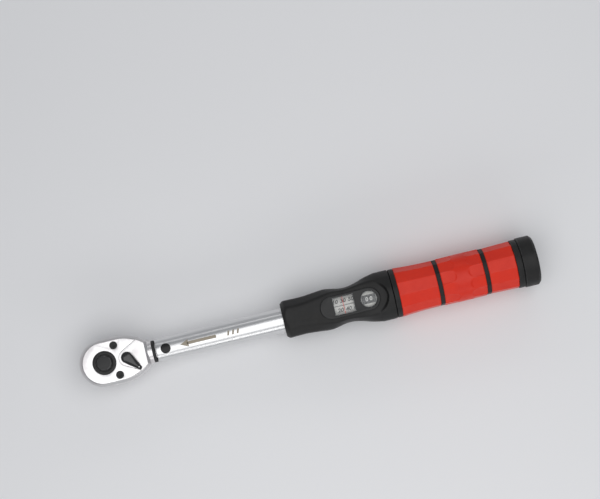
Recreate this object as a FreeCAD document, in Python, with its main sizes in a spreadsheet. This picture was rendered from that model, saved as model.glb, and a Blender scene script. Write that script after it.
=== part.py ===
"""Click-type torque wrench with a reversible ratchet head, as a parametric FreeCAD document.

+X runs from the drive square along the tube to the lock knob, +Z from the square to the lever
side. The origin is the centre of the drive square's end face. All sizes are millimetres.
"""
import FreeCAD, Part
import Sketcher
import math
import os
import re

X_AXIS = FreeCAD.Vector(1, 0, 0)
Y_AXIS = FreeCAD.Vector(0, 1, 0)
Z_AXIS = FreeCAD.Vector(0, 0, 1)

# Driving dimensions: alias, value, meaning.
SIZES = [
    ("fit", 0.05, "radial clearance of a running fit"),
    ("gap", 0.35, "clearance between pieces that move past each other"),
    # drive square and ratchet head
    ("square_size", 9.5, "across the flats of the drive square"),
    ("square_length", 11, "square below the head"),
    ("square_chamfer", 0.8, "chamfer at the end of the square"),
    ("head_thickness", 20, "head from underside to top"),
    ("head_wall", 5, "wall beside the gear cavity"),
    ("head_centre", -1.1, "x of the round nose's centre"),
    ("head_shoulder", 11, "x where the head starts to taper"),
    ("head_taper_radius", 32.1, "radius of the tapering flanks"),
    ("head_bevel", 2.1, "bevel round the top face"),
    ("head_under_bevel", 1.2, "bevel round the underside"),
    ("neck_length", 2.7, "straight neck behind the taper"),
    ("plate_thickness", 2.6, "cover plate"),
    ("plate_reach", 8.7, "tips of the cover plate beyond the lever's axis"),
    ("boss_radius", 6, "tongue of the head round the lever"),
    ("floor_thickness", 3, "wall under the gear"),
    ("gear_radius", 11.8, "tips of the gear teeth"),
    ("tooth_depth", 0.7, "depth of the gear teeth"),
    ("cavity_gap", 0.5, "cavity outside the gear"),
    ("gear_play", 1, "axial room under and over the gear"),
    ("clip_depth", 1.6, "button's snap ring below the head's top"),
    ("button_room", 9, "depth of the button's pocket"),
    ("flange_depth", 3, "button's flange below the head's top"),
    ("tooth_count", 72, "teeth of the gear"),
    ("disc_radius", 8.72, "upper journal of the gear"),
    ("journal_radius", 8, "lower journal of the gear"),
    ("button_radius", 5.8, "release button"),
    ("button_rise", 2, "button above the head"),
    ("button_travel", 3, "stroke of the release button"),
    ("button_flange", 6.3, "retaining flange of the button"),
    ("stem_radius", 2, "stem of the button"),
    ("ball_radius", 1.8, "detent ball of the square"),
    ("ball_height", 5.5, "z of the detent ball"),
    ("ball_stroke", 0.9, "how far the ball draws in"),
    ("screw_wall", 2.6, "cover screws outside the gear"),
    ("screw_angle", 50.35, "angle of the cover screws from the tube"),
    ("screw_head", 2.9, "radius of a cover screw's head"),
    ("screw_shank", 1.25, "radius of a cover screw's shank"),
    ("lever_offset", 5.2, "lever's axis outside the gear"),
    ("lever_round", 4.25, "round end of the lever"),
    ("lever_reach", 13.7, "axis to tip of the lever"),
    ("lever_tip", 1.5, "half width of the lever's tip"),
    ("lever_height", 3.4, "thickness of the lever"),
    ("lever_swing", 100, "angle between the lever's two settings"),
    ("shaft_radius", 2, "shaft of the lever"),
    ("pawl_rock", 12, "angle between the pawl's two settings"),
    ("pawl_hub", 3.2, "hub of the pawl"),
    ("pawl_room", 1.85, "wings of the pawl inside the cover screws"),
    ("pocket_offset", 3.6, "pocket's centre ahead of the lever's axis"),
    ("pocket_radius", 9.8, "pawl pocket"),
    # click joint
    ("tang_width", 7.5, "tang of the head at its end"),
    ("tang_root", 10, "tang at the neck"),
    ("tang_height", 8, "tang in z"),
    ("tang_reach", 42.1, "pivot pin to the tang's end"),
    ("pivot_offset", 7.2, "front end of the tube to the pivot pin"),
    ("pin_radius", 3.75, "pivot pin"),
    ("click_angle", 2.4, "travel of the head at the click"),
    ("block_length", 5.6, "trip block along x"),
    ("block_width", 5, "trip block across"),
    ("block_bevel", 0.9, "bevel of the block's corners"),
    ("plunger_length", 10, "plunger"),
    ("plunger_push", 0.55, "travel of the plunger at the click"),
    # tube
    ("neck_gap", 3, "gap between the neck and the tube"),
    ("tube_shown", 95.9, "tube in front of the housing"),
    ("tube_front", 8.55, "outer radius of the tube at the head"),
    ("tube_rear", 9.2, "outer radius of the tube in the grip"),
    ("tube_bore", 7.1, "bore of the tube"),
    ("tube_in_grip", 40.5, "tube inside the grip"),
    ("ring_width", 2.3, "dark ring at the neck"),
    ("ring_radius", 8.2, "dark ring at the neck"),
    # spring and scale
    ("spring_radius", 5.5, "mean radius of the main spring"),
    ("spring_wire", 1.15, "wire radius of the main spring"),
    ("spring_turns", 11, "turns of the main spring"),
    ("nut_lead", 15.2, "adjusting nut ahead of the reading line"),
    ("nut_length", 16, "adjusting nut"),
    ("seat_length", 2, "spring seat"),
    ("nut_forward", 9, "travel of the nut towards the head"),
    ("nut_back", 6, "travel of the nut towards the grip"),
    ("key_offset", 5, "scale keys behind the nut's front end"),
    ("key_radius", 1.5, "scale keys"),
    ("scale_lead", 10, "scale sleeve ahead of the keys"),
    ("scale_length", 38, "scale sleeve"),
    ("scale_wall", 1, "scale sleeve"),
    ("drum_lead", 5.7, "drum ahead of the round window's centre"),
    ("drum_width", 12.5, "micrometer drum"),
    ("drum_wall", 1, "rim of the micrometer drum"),
    ("drum_web", 1.4, "web of the micrometer drum"),
    # window housing
    ("housing_length", 82.8, "window housing"),
    ("housing_grip", 16, "length of housing that is clamped on the tube"),
    ("housing_low", 6, "height of the housing's flanks"),
    ("collar_length", 10, "round rear end of the housing"),
    ("collar_radius", 18.2, "round rear end of the housing"),
    ("flat_stop", 3.4, "end of the flat top ahead of the housing's end"),
    ("bezel_lead", 10.2, "bezel ahead of the long window"),
    ("bezel_tail", 8.6, "bezel behind the round window's centre"),
    ("bezel_half", 8.5, "half width of the bezel"),
    ("bezel_rise", 0.9, "bezel above the flat top"),
    ("bezel_depth", 1.2, "bezel sunk into the flat top"),
    ("bezel_floor", 0.3, "housing's wall under the bezel"),
    ("window_lead", 38.1, "long window behind the housing's front end"),
    ("window_length", 15.6, "long window"),
    ("window_half", 6.6, "half width of the long window"),
    ("round_lead", 64.6, "round window behind the housing's front end"),
    ("round_radius", 6.1, "round window"),
    ("lens_thickness", 1, "window lenses"),
    ("lens_sink", 0.3, "lenses below the bezel's top"),
    ("reading_lead", 7.5, "reading line behind the long window's front edge"),
    ("reading_width", 0.4, "reading line"),
    ("set_screw_lead", 7.4, "housing screws behind the housing's front end"),
    # grip
    ("front_ring_length", 3.7, "black front ring"),
    ("front_length", 29.4, "front red sleeve"),
    ("middle_length", 32.3, "middle red sleeve"),
    ("band_width", 3, "black bands"),
    ("rear_length", 21, "rear red sleeve"),
    ("grip_front_radius", 18.6, "corner radius of the grip at its front"),
    ("grip_waist_radius", 17.3, "corner radius at the bands"),
    ("grip_swell_radius", 17.7, "corner radius at the middle"),
    ("grip_rear_radius", 17.8, "corner radius at the rear"),
    ("grip_facets", 12, "facets of the grip"),
    ("grip_turn", 10, "angle of the facets from straight up"),
    ("core_wall", 2.9, "wall of the grip core round the bushes"),
    ("bush_wall", 1.4, "wall of the bushes"),
    ("bush_tail", 4, "bore of the core behind the rear bush"),
    ("lock_spring_length", 11.65, "lock spring"),
    ("collar_gap", 0.4, "between housing and front ring"),
    ("rear_ring_length", 4.5, "black rear ring"),
    ("rear_ring_radius", 18, "black rear ring"),
    ("bush_lead", 4.5, "front bush behind the grip's front end"),
    ("front_bush_length", 14.65, "front bush"),
    ("snap_width", 1.2, "snap ring"),
    ("snap_depth", 0.5, "groove of the snap ring"),
    ("rear_bush_length", 11.45, "rear bush"),
    # spindle and lock
    ("thread_radius", 4, "threaded part of the spindle"),
    ("spindle_lead", 4, "spindle ahead of the nut at its foremost"),
    ("collar_lead", 7.5, "spindle's collar behind the grip's front end"),
    ("spindle_collar_length", 3, "collar"),
    ("spindle_collar_radius", 6.5, "collar"),
    ("spindle_rear", 3, "plain rear part of the spindle"),
    ("hex_lead", 6, "hexagon behind the core's web"),
    ("hex_tail", 3.9, "hexagon's end ahead of the knob"),
    ("hex_size", 5.2, "across the flats of the spindle's end"),
    ("bearing_length", 4, "thrust bearing"),
    ("bearing_washer", 1, "bearing washers"),
    ("bearing_balls", 10, "balls of the thrust bearing"),
    ("plug_nose", 6, "cone of the end plug"),
    ("plug_flange", 2, "flange of the end plug"),
    ("plug_nose_radius", 7, "root of the cone"),
    ("plug_tip_radius", 5.4, "tip of the cone"),
    ("lock_flare_length", 8, "flared end of the lock sleeve"),
    ("lock_outer", 6.95, "lock sleeve"),
    ("lock_travel", 4, "pull of the lock knob"),
    ("lock_key_lead", 10, "lock key behind the start of the hexagon"),
    ("lock_key_radius", 1, "lock key"),
    ("knob_length", 11.8, "lock knob"),
    ("knob_radius", 18.6, "lock knob"),
    ("knob_bevel", 1.8, "rear edge of the lock knob"),
    ("knob_screw_radius", 2, "knob screw"),
]

# Housing outline: place behind the front end, flank outside the drum's radius, half flat top.
HOUSING_STATIONS = [
    (1.9, 2.1, 8.1),
    (17.3, 1.8, 8),
    (35.4, 3.3, 10.3),
    (49.9, 1.2, 11),
    (62.4, 3.3, 12),
    (74.4, 6.3, 12.3),
]

# Sizes and places that follow from the driving dimensions.
DERIVED = {
    "head_radius": "gear_radius + cavity_gap + head_wall",
    "neck_start": "head_shoulder + sqrt(head_taper_radius^2"
                  " - (head_taper_radius - head_radius + tube_front)^2)",
    "neck_end": "neck_start + neck_length",
    "lever_x": "gear_radius + lever_offset",
    "plate_tip": "lever_x + plate_reach",
    "screw_x": "(gear_radius + screw_wall) * cos(screw_angle)",
    "screw_y": "(gear_radius + screw_wall) * sin(screw_angle)",
    "pocket_x": "lever_x - pocket_offset",
    "tube_start": "neck_end + neck_gap",
    "pivot_x": "tube_start + pivot_offset",
    "tang_end": "pivot_x + tang_reach",
    "housing_start": "tube_start + tube_shown",
    "housing_end": "housing_start + housing_length",
    "window_start": "housing_start + window_lead",
    "round_x": "housing_start + round_lead",
    "bezel_start": "window_start - bezel_lead",
    "bezel_end": "round_x + bezel_tail",
    "reading_x": "window_start + reading_lead",
    "set_screw_x": "housing_start + set_screw_lead",
    "nut_start": "reading_x - nut_lead",
    "key_x": "nut_start + key_offset",
    "scale_start": "key_x - scale_lead",
    "scale_radius": "tube_rear + gap + scale_wall",
    "drum_start": "round_x - drum_lead",
    "drum_radius": "scale_radius + gap + drum_wall",
    "drum_room": "drum_radius + 6 * fit",
    "housing_top": "drum_room + bezel_floor + bezel_depth",
    "flat_end": "housing_end - flat_stop",
    "flat_half": "sqrt(collar_radius^2 - housing_top^2)",
    "grip_start": "housing_end + collar_gap + front_ring_length",
    "band_one": "grip_start + front_length + band_width / 2",
    "band_two": "band_one + band_width + middle_length",
    "grip_end": "band_two + band_width / 2 + rear_length",
    "tube_end": "grip_start + tube_in_grip",
    "core_bore": "tube_rear + bush_wall",
    "core_radius": "core_bore + core_wall",
    "front_bush_start": "grip_start + bush_lead",
    "snap_x": "front_bush_start + front_bush_length + gap",
    "snap_radius": "core_bore - gap",
    "rear_bush_start": "snap_x + snap_width + gap",
    "rear_bush_end": "rear_bush_start + rear_bush_length",
    "core_step": "rear_bush_end + bush_tail",
    "spindle_start": "nut_start - nut_forward - spindle_lead",
    "spindle_collar": "grip_start + collar_lead",
    "bearing_start": "spindle_collar + spindle_collar_length",
    "plug_start": "bearing_start + bearing_length",
    "flare_start": "tube_end + plug_flange + gap",
    "flare_end": "flare_start + lock_flare_length",
    "lock_room": "tube_rear + gap + fit",
    "lock_flare": "lock_room - gap - 5 * fit",
    "core_web": "flare_end + lock_spring_length",
    "spindle_hex": "core_web + hex_lead",
    "lock_key_x": "spindle_hex + lock_key_lead",
    "knob_start": "grip_end + rear_ring_length + 4 * fit",
    "knob_end": "knob_start + knob_length",
    "spindle_end": "knob_start - hex_tail",
    "axis_height": "square_length + head_thickness / 2",
    "head_top": "square_length + head_thickness",
    "plate_bottom": "head_top - plate_thickness",
    "gear_bottom": "square_length + floor_thickness + gear_play",
    "gear_top": "plate_bottom - gear_play / 2",
    "clip_level": "head_top - clip_depth",
    "button_seat": "head_top - button_room",
    "flange_level": "head_top - flange_depth",
    "tang_offset": "-(tang_end - pivot_x) * tan(click_angle / 2)",
    "block_start": "tang_end + gap",
    "plunger_start": "block_start + block_length + fit",
    "spring_start": "plunger_start + plunger_length + plunger_push + 2 * fit",
    "seat_start": "nut_start - seat_length",
    "bezel_bottom": "axis_height + housing_top - bezel_depth",
    "bezel_top": "axis_height + housing_top + bezel_rise",
    "lens_level": "bezel_top - lens_thickness - lens_sink",
}

doc = FreeCAD.newDocument("TorqueWrench")
sheet = doc.addObject("Spreadsheet::Sheet", "Sizes")
ALIASES = set()


def store(alias, number, meaning):
    """Put one driving dimension on the sheet."""
    row = len(ALIASES) + 1
    ALIASES.add(alias)
    sheet.set(f"A{row}", meaning)
    sheet.set(f"B{row}", str(number))
    sheet.setAlias(f"B{row}", alias)


for alias, number, meaning in SIZES:
    store(alias, number, meaning)
for index, (station_x, flank, flat) in enumerate(HOUSING_STATIONS):
    DERIVED[f"station_{index}_x"] = f"housing_start + station_{index}_place"
    DERIVED[f"station_{index}_flank"] = f"drum_radius + station_{index}_wall"
    store(f"station_{index}_place", station_x, "housing station behind the front end")
    store(f"station_{index}_wall", flank, "flanks outside the drum's radius")
    store(f"station_{index}_flat", flat, "half width of the flat top")
doc.recompute()


def bound(text):
    """Write a formula of aliases and derived names as an expression that reads the sheet."""
    def word(match):
        if match[0] in DERIVED:
            return f"({bound(DERIVED[match[0]])})"
        return "Sizes." + match[0] if match[0] in ALIASES else match[0]

    return re.sub(r"[a-z_]\w*", word, str(text))


def value(text):
    """Number that a formula of aliases has now."""
    return float(sheet.evalExpression(bound(text).replace("Sizes.", "")))


def tie(item, **formulas):
    """Bind properties of an object to formulas of aliases."""
    for name, formula in formulas.items():
        item.setExpression(name, bound(formula))
    return item


def place(item, x="0", y="0", z="0", axis=Z_AXIS, angle=0):
    """Bind an object's position; the turn about the axis is fixed."""
    item.Placement = FreeCAD.Placement(FreeCAD.Vector(value(x), value(y), value(z)),
                                       FreeCAD.Rotation(axis, angle))
    for letter, formula in zip("xyz", (x, y, z)):
        item.setExpression(f"Placement.Base.{letter}", bound(formula))
    return item


TURNS = {"x": (Y_AXIS, 90), "y": (X_AXIS, -90), "z": (Z_AXIS, 0)}


def rod(name, radius, length, x="0", y="0", z="0", along="z"):
    """Cylinder that starts at a point and runs along an axis."""
    item = doc.addObject("Part::Cylinder", name)
    tie(item, Radius=radius, Height=length)
    return place(item, x, y, z, *TURNS[along])


def block(name, length, width, height, x="0", y="0", z="0"):
    """Box that starts at x and z and is centred on y."""
    item = doc.addObject("Part::Box", name)
    tie(item, Length=length, Width=width, Height=height)
    return place(item, x, f"{y} - ({width}) / 2", z)


def cut(name, base, *tools):
    """Base with the tools taken away."""
    item = doc.addObject("Part::Cut", name)
    item.Base = base
    item.Tool = tools[0] if len(tools) == 1 else fuse(name + "_tools", *tools)
    return item


def fuse(name, *shapes):
    """Several shapes as one object."""
    item = doc.addObject("Part::MultiFuse", name)
    item.Shapes = list(shapes)
    return item


def common(name, *shapes):
    """Space that several shapes share."""
    item = doc.addObject("Part::MultiCommon", name)
    item.Shapes = list(shapes)
    return item


def sketch_on(body, role, name, offset="0"):
    """Empty sketch on one of the body's own planes."""
    plane = next(f for f in body.Origin.OriginFeatures if f.Role == role)
    sketch = body.newObject("Sketcher::SketchObject", name)
    sketch.AttachmentSupport = (plane, [""])
    sketch.MapMode = "FlatFace"
    sketch.setExpression("AttachmentOffset.Base.z", bound(offset))
    return sketch


def outline(sketch, corners, bows=None):
    """Closed outline through corners given as formulas.

    bows gives the radius of an edge that is an arc, by the number of its first corner: above
    zero the arc turns left as the outline runs, below zero it turns right.
    """
    bows = bows or {}
    count = len(corners)
    spots = [FreeCAD.Vector(value(across), value(up), 0) for across, up in corners]
    for number, spot in enumerate(spots):
        following = spots[(number + 1) % count]
        if number in bows:
            radius = value(bows[number])
            chord = following - spot
            sag = abs(radius) - math.sqrt(radius ** 2 - (chord.Length / 2) ** 2)
            side = FreeCAD.Vector(chord.y, -chord.x, 0).normalize() * math.copysign(sag, radius)
            middle = (spot + following) * 0.5 + side
            sketch.addGeometry(Part.Arc(spot, middle, following))
        else:
            sketch.addGeometry(Part.LineSegment(spot, following))

    def ends(number):
        """Point numbers of an edge's start and end, which swap on an arc that turns right."""
        right = number in bows and value(bows[number]) < 0
        return (2, 1) if right else (1, 2)

    for number in range(count):
        nxt = (number + 1) % count
        sketch.addConstraint(Sketcher.Constraint("Coincident", number, ends(number)[1],
                                                 nxt, ends(nxt)[0]))
    for number, (across, up) in enumerate(corners):
        start = ends(number)[0]
        for kind, formula, free in (("DistanceX", across, spots[number].x),
                                    ("DistanceY", up, spots[number].y)):
            line = sketch.addConstraint(Sketcher.Constraint(kind, -1, 1, number, start, free))
            sketch.setExpression(f"Constraints[{line}]", bound(formula))
        if number in bows:
            radius = value(bows[number])
            line = sketch.addConstraint(Sketcher.Constraint("Radius", number, abs(radius)))
            sketch.setExpression(f"Constraints[{line}]", f"abs({bound(bows[number])})")


def turned(name, profile, about="x", x="0", y="0", z="axis_height"):
    """Piece turned on a lathe: its profile lists (along, radius), and it runs along the axis."""
    body = doc.addObject("PartDesign::Body", name)
    sketch = sketch_on(body, "XZ_Plane", name + "_profile")
    corners = profile if about == "x" else [(radius, along) for along, radius in profile]
    outline(sketch, corners)
    spin = body.newObject("PartDesign::Revolution", name + "_turning")
    spin.Profile = sketch
    spin.ReferenceAxis = (sketch, ["H_Axis" if about == "x" else "V_Axis"])
    spin.Angle = 360
    return place(body, x, y, z)


def plate(name, corners, bows, height, z, bevel=None, under_bevel=None):
    """Flat piece cut to an outline, with bevels round its top and its underside."""
    body = doc.addObject("PartDesign::Body", name)
    sketch = sketch_on(body, "XY_Plane", name + "_outline")
    outline(sketch, corners, bows)
    pad = body.newObject("PartDesign::Pad", name + "_pad")
    pad.Profile = sketch
    tie(pad, Length=height)
    doc.recompute()
    for size, level in ((bevel, value(height)), (under_bevel, 0)):
        if size is None:
            continue
        tip = body.Tip
        edges = [f"Edge{i + 1}" for i, edge in enumerate(tip.Shape.Edges)
                 if abs(edge.BoundBox.ZMin - level) < 1e-6 and abs(edge.BoundBox.ZMax - level) < 1e-6]
        chamfer = body.newObject("PartDesign::Chamfer", f"{name}_bevel_{int(level > 0)}")
        chamfer.Base = (tip, edges)
        tie(chamfer, Size=size)
        doc.recompute()
    return place(body, z=z)


def coil(name, radius, wire, length, turns, x="0", z="axis_height", along="x"):
    """Coil spring between two flat seats, with its wire's ends inside the given length."""
    free = f"(({length}) - 2 * ({wire}))"
    path = tie(doc.addObject("Part::Helix", name + "_path"), Radius=radius, Height=free,
               Pitch=f"{free} / ({turns})")
    section = tie(doc.addObject("Part::Circle", name + "_wire"), Radius=wire)
    place(section, radius, axis=X_AXIS, angle=90)
    doc.recompute()
    item = doc.addObject("Part::Sweep", name)
    item.Sections = [section]
    item.Spine = (path, [])
    item.Solid = True
    item.Frenet = True
    if along == "x":
        return place(item, f"{x} + {wire}", "0", z, *TURNS["x"])
    return place(item, x, "0", f"{z} + {wire}")


# ------------------------------------------------------------------ ratchet head

def flank(radius, x):
    """Half width of a tapering flank of the given radius at x."""
    centre = "(head_taper_radius - head_radius)"
    return f"(sqrt(({radius})^2 - ({x} - head_shoulder)^2) - {centre})"


def head_outline(shrink, right):
    """Corners and arcs of the head's outline, drawn in by shrink, up to x = right."""
    nose = f"(head_radius - {shrink})"
    side = f"(head_taper_radius - {shrink})"
    half = flank(side, right)
    corners = [
        (f"head_centre - {nose}", "0"), ("head_centre", f"-{nose}"), ("head_shoulder", f"-{nose}"),
        (right, f"-{half}"), (right, half), ("head_shoulder", nose), ("head_centre", nose),
    ]
    return corners, {0: nose, 2: side, 4: side, 6: nose}


def make_head_body():
    """Forged head with the gear cavity, the pawl pocket and the tang that reaches into the tube."""
    corners, bows = head_outline("0", "neck_start")
    shell = plate("head_forging", corners, bows, "head_thickness", "square_length",
                  "head_bevel", "head_under_bevel")
    neck = rod("head_neck", "tube_front", "neck_end - neck_start + 3", "neck_start - 3", z="axis_height",
               along="x")
    tang = plate("head_tang", [
        ("neck_start - 3", "-tang_root / 2"), ("pivot_x + 6", "-tang_root / 2"),
        ("tang_end", "tang_offset - tang_width / 2"), ("tang_end", "tang_offset + tang_width / 2"),
        ("pivot_x + 6", "tang_root / 2"), ("neck_start - 3", "tang_root / 2")],
        {}, "tang_height", "axis_height - tang_height / 2")
    forging = fuse("head_solid", shell, neck, tang)
    recess_corners, recess_bows = plate_outline("0")
    recess = plate("plate_recess", recess_corners, recess_bows, "plate_thickness + 1", "plate_bottom")
    floor = "(square_length + floor_thickness)"
    cavity = rod("gear_cavity", "gear_radius + cavity_gap", f"plate_bottom - {floor}", z=floor)
    pocket = rod("pawl_pocket", "pocket_radius", f"gear_top - {floor}", "pocket_x", z=floor)
    journal = rod("journal_bore", "journal_radius + fit", "floor_thickness + 2", z="square_length - 1")
    shaft = rod("shaft_bore", "shaft_radius + fit", "plate_thickness + 4", "lever_x",
                z="plate_bottom - 2")
    pin = rod("tang_bore", "pin_radius + fit", "tang_height + 2", "pivot_x",
              z="axis_height - tang_height / 2 - 1")
    screws = [rod(f"screw_bore_{side > 0}", "screw_shank", "8", "screw_x", f"{side} * screw_y",
                  z="plate_bottom - 8") for side in (-1, 1)]
    return cut("head_body", forging, recess, cavity, pocket, journal, shaft, pin, *screws)


def plate_outline(shrink):
    """Corners and arcs of the cover plate's outline, drawn in by shrink."""
    edge = f"(head_bevel + {shrink})"
    nose = f"(head_radius - {edge})"
    side = f"(head_taper_radius - {edge})"
    tip = f"(plate_tip - 3 * {shrink})"
    half = flank(side, tip)
    boss = f"(boss_radius + {shrink})"
    seam_x = f"(lever_x - {boss} * sin(28))"
    seam_y = f"({boss} * cos(28))"
    corners = [
        (f"head_centre - {nose}", "0"), ("head_centre", f"-{nose}"), ("head_shoulder", f"-{nose}"),
        (tip, f"-{half}"), (seam_x, f"-{seam_y}"), (f"lever_x - {boss}", "0"),
        (seam_x, seam_y), (tip, half), ("head_shoulder", nose), ("head_centre", nose),
    ]
    return corners, {0: nose, 2: side, 4: f"-{boss}", 5: f"-{boss}", 7: side, 9: nose}


def make_cover_plate():
    """Plate that closes the gear cavity; the disc of the gear turns in its bore."""
    corners, bows = plate_outline("0.04")
    blank = plate("plate_blank", corners, bows, "plate_thickness", "plate_bottom", "0.25")
    bore = rod("plate_bore", "disc_radius + fit", "plate_thickness + 2", z="plate_bottom - 1")
    seats = []
    for side in (-1, 1):
        seats.append(rod(f"screw_seat_{side > 0}", "screw_head", "3", "screw_x", f"{side} * screw_y",
                         z="head_top - 1.8"))
        seats.append(rod(f"screw_way_{side > 0}", "screw_shank", "5", "screw_x", f"{side} * screw_y",
                         z="plate_bottom - 1"))
    return cut("cover_plate", blank, bore, *seats)


def make_cover_screws():
    """Two socket head screws, flush with the cover plate."""
    screws = []
    for side in (-1, 1):
        tag = "upper" if side > 0 else "lower"
        y = f"{side} * screw_y"
        head = rod(f"screw_head_{tag}", "screw_head", "1.8", "screw_x", y, "head_top - 1.8")
        shank = rod(f"screw_shank_{tag}", "screw_shank", "8.8", "screw_x", y, "head_top - 10.6")
        socket = tie(doc.addObject("Part::Prism", f"screw_socket_{tag}"), Circumradius="1.7",
                     Height="3")
        place(socket, "screw_x", y, "head_top - 1.4")
        screws.append(cut(f"screw_{tag}", fuse(f"screw_blank_{tag}", head, shank), socket))
    group = doc.addObject("Part::Compound", "cover_screws")
    group.Links = screws
    return group


def gear_ring(name, grow, bottom, top):
    """Star-shaped ring of ratchet teeth, grown by a clearance."""
    teeth = int(value("tooth_count"))
    tip = value("gear_radius") + grow
    root = tip - value("tooth_depth")
    spots = []
    for half_step in range(2 * teeth):
        angle = math.pi * half_step / teeth
        reach = tip if half_step % 2 == 0 else root
        spots.append(FreeCAD.Vector(reach * math.cos(angle), reach * math.sin(angle), value(bottom)))
    face = Part.Face(Part.makePolygon(spots + spots[:1]))
    item = doc.addObject("Part::Feature", name)
    item.Shape = face.extrude(Z_AXIS * (value(top) - value(bottom)))
    return item


def make_drive_gear():
    """Toothed gear with two journals, the drive square and the bores of the quick release."""
    teeth = gear_ring("gear_teeth", 0, "gear_bottom", "gear_top")
    lower = rod("gear_lower_journal", "journal_radius", "gear_bottom - square_length - 0.2",
                z="square_length + 0.2")
    upper = rod("gear_disc", "disc_radius", "head_top - gear_top", z="gear_top")
    square = plate("gear_square", [
        ("-square_size / 2", "-square_size / 2"), ("square_size / 2", "-square_size / 2"),
        ("square_size / 2", "square_size / 2"), ("-square_size / 2", "square_size / 2")],
        {}, "square_length + 1", "0", under_bevel="square_chamfer")
    solid = fuse("gear_solid", teeth, lower, upper, square)
    stem = rod("stem_bore", "stem_radius + fit", "head_top", z="1")
    pocket = rod("button_pocket", "button_flange + fit", "20", z="button_seat")
    groove = rod("clip_groove", "button_flange + 0.5", "0.6", z="clip_level")
    ball_way = rod("ball_way", "ball_radius + fit", "square_size", z="ball_height", along="y")
    return cut("drive_gear", solid, stem, pocket, groove, ball_way)


def make_release_button():
    """Button whose stem holds the detent ball out until it is pressed."""
    waist = "(ball_height + button_travel)"
    slope = "(ball_stroke / button_travel)"
    full = "(stem_radius - 0.5)"
    return turned("release_button", [
        ("ball_height - 1.1", "0"), ("ball_height - 1.1", full), ("ball_height - 0.1", full),
        (f"{waist} + 0.1", f"{full} - {slope} * button_travel"),
        (f"{waist} + 2.2", f"{full} - {slope} * button_travel"), (f"{waist} + 2.2", "stem_radius"),
        ("flange_level", "stem_radius"), ("flange_level", "button_flange"),
        ("flange_level + 1.1", "button_flange"), ("flange_level + 1.1", "button_radius"),
        ("head_top + button_rise - 0.7", "button_radius"),
        ("head_top + button_rise", "button_radius - 0.7"), ("head_top + button_rise", "0")],
        about="z", z="0")


def make_button_clip():
    """Snap ring that keeps the button in the disc."""
    ring = rod("clip_ring", "button_flange + 0.5", "0.6", z="clip_level")
    return cut("button_clip", ring, rod("clip_hole", "button_radius + fit", "2", z="clip_level - 1"))


def make_detent_ball():
    """Ball that holds a socket on the square."""
    ball = tie(doc.addObject("Part::Sphere", "detent_ball"), Radius="ball_radius")
    return place(ball, "0", "stem_radius - 0.4 + ball_radius", "ball_height")


def make_pawl():
    """Two-winged pawl round the lever's shaft; its teeth fit the gear in both settings."""
    wing_x = "(lever_x - 7.6)"
    wing = "(screw_y - screw_shank - pawl_room)"
    blank = plate("pawl_blank", [
        ("lever_x + 2", "-pawl_hub"), ("lever_x + 2", "pawl_hub"), (f"{wing_x} + 2.6", f"{wing} - 0.6"),
        (wing_x, wing), (f"{wing_x} - 1.2", f"{wing} - 3"), ("lever_x - 3.8", "2.2"),
        ("lever_x - 3.8", "-2.2"),
        (f"{wing_x} - 1.2", f"3 - {wing}"), (wing_x, f"-{wing}"), (f"{wing_x} + 2.6", f"0.6 - {wing}")][::-1],
        {}, "gear_top - gear_bottom - 0.6", "gear_bottom + 0.3")
    gear = gear_ring("gear_envelope", 0.08, "gear_bottom", "gear_top")
    doc.recompute()
    centre = FreeCAD.Vector(value("lever_x"), 0, 0)
    rest = -value("pawl_rock") / 2
    solid = blank.Shape.copy()
    solid.rotate(centre, Z_AXIS, rest)
    steps = 16
    for step in range(steps + 1):
        swept = gear.Shape.copy()
        swept.rotate(centre, Z_AXIS, -value("pawl_rock") * step / steps)
        solid = solid.cut(swept)
    solid = max(solid.Solids, key=lambda piece: piece.Volume)
    hole = Part.makeCylinder(value("shaft_radius + fit"), 40, centre)
    pawl = doc.addObject("Part::Feature", "pawl")
    pawl.Shape = solid.cut(hole)
    return pawl


def make_selector_lever():
    """Teardrop lever with its shaft, turned to one of its two settings."""
    body = doc.addObject("PartDesign::Body", "lever_blade")
    sketch = sketch_on(body, "XY_Plane", "lever_outline")
    cosine = "((lever_round - lever_tip) / lever_reach)"
    sine = f"sqrt(1 - {cosine}^2)"
    start = (f"lever_round * {cosine}", f"lever_round * {sine}")
    tip = (f"lever_reach - lever_tip + lever_tip * {cosine}", f"lever_tip * {sine}")
    outline(sketch, [
        ("-lever_round", "0"), ("0", "-lever_round"), (start[0], f"-{start[1]}"),
        (tip[0], f"-{tip[1]}"), ("lever_reach", "0"), tip, start, ("0", "lever_round")],
        {0: "lever_round", 1: "lever_round", 3: "lever_tip", 4: "lever_tip", 6: "lever_round",
         7: "lever_round"})
    pad = body.newObject("PartDesign::Pad", "lever_pad")
    pad.Profile = sketch
    tie(pad, Length="lever_height")
    doc.recompute()
    top = [f"Edge{i + 1}" for i, edge in enumerate(pad.Shape.Edges)
           if edge.BoundBox.ZMin > value("lever_height") - 1e-6]
    bevel = body.newObject("PartDesign::Chamfer", "lever_bevel")
    bevel.Base = (pad, top)
    tie(bevel, Size="0.8")
    place(body, "lever_x", "0", "head_top + gap")
    body.setExpression("Placement.Rotation.Angle", bound("-lever_swing / 2"))
    shaft = rod("lever_shaft", "shaft_radius", "head_top - gear_bottom + gap + 0.5", "lever_x",
                z="gear_bottom - 0.5")
    return fuse("selector_lever", body, shaft)


def make_shaft_clip():
    """Ring that keeps the lever's shaft down in the head."""
    ring = rod("shaft_clip_ring", "shaft_radius + 0.8", "0.6", "lever_x", z="gear_bottom - 0.5")
    return cut("shaft_clip", ring, rod("shaft_clip_hole", "shaft_radius", "2", "lever_x",
                                       z="gear_bottom - 1"))


# ------------------------------------------------------------------ click mechanism

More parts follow.
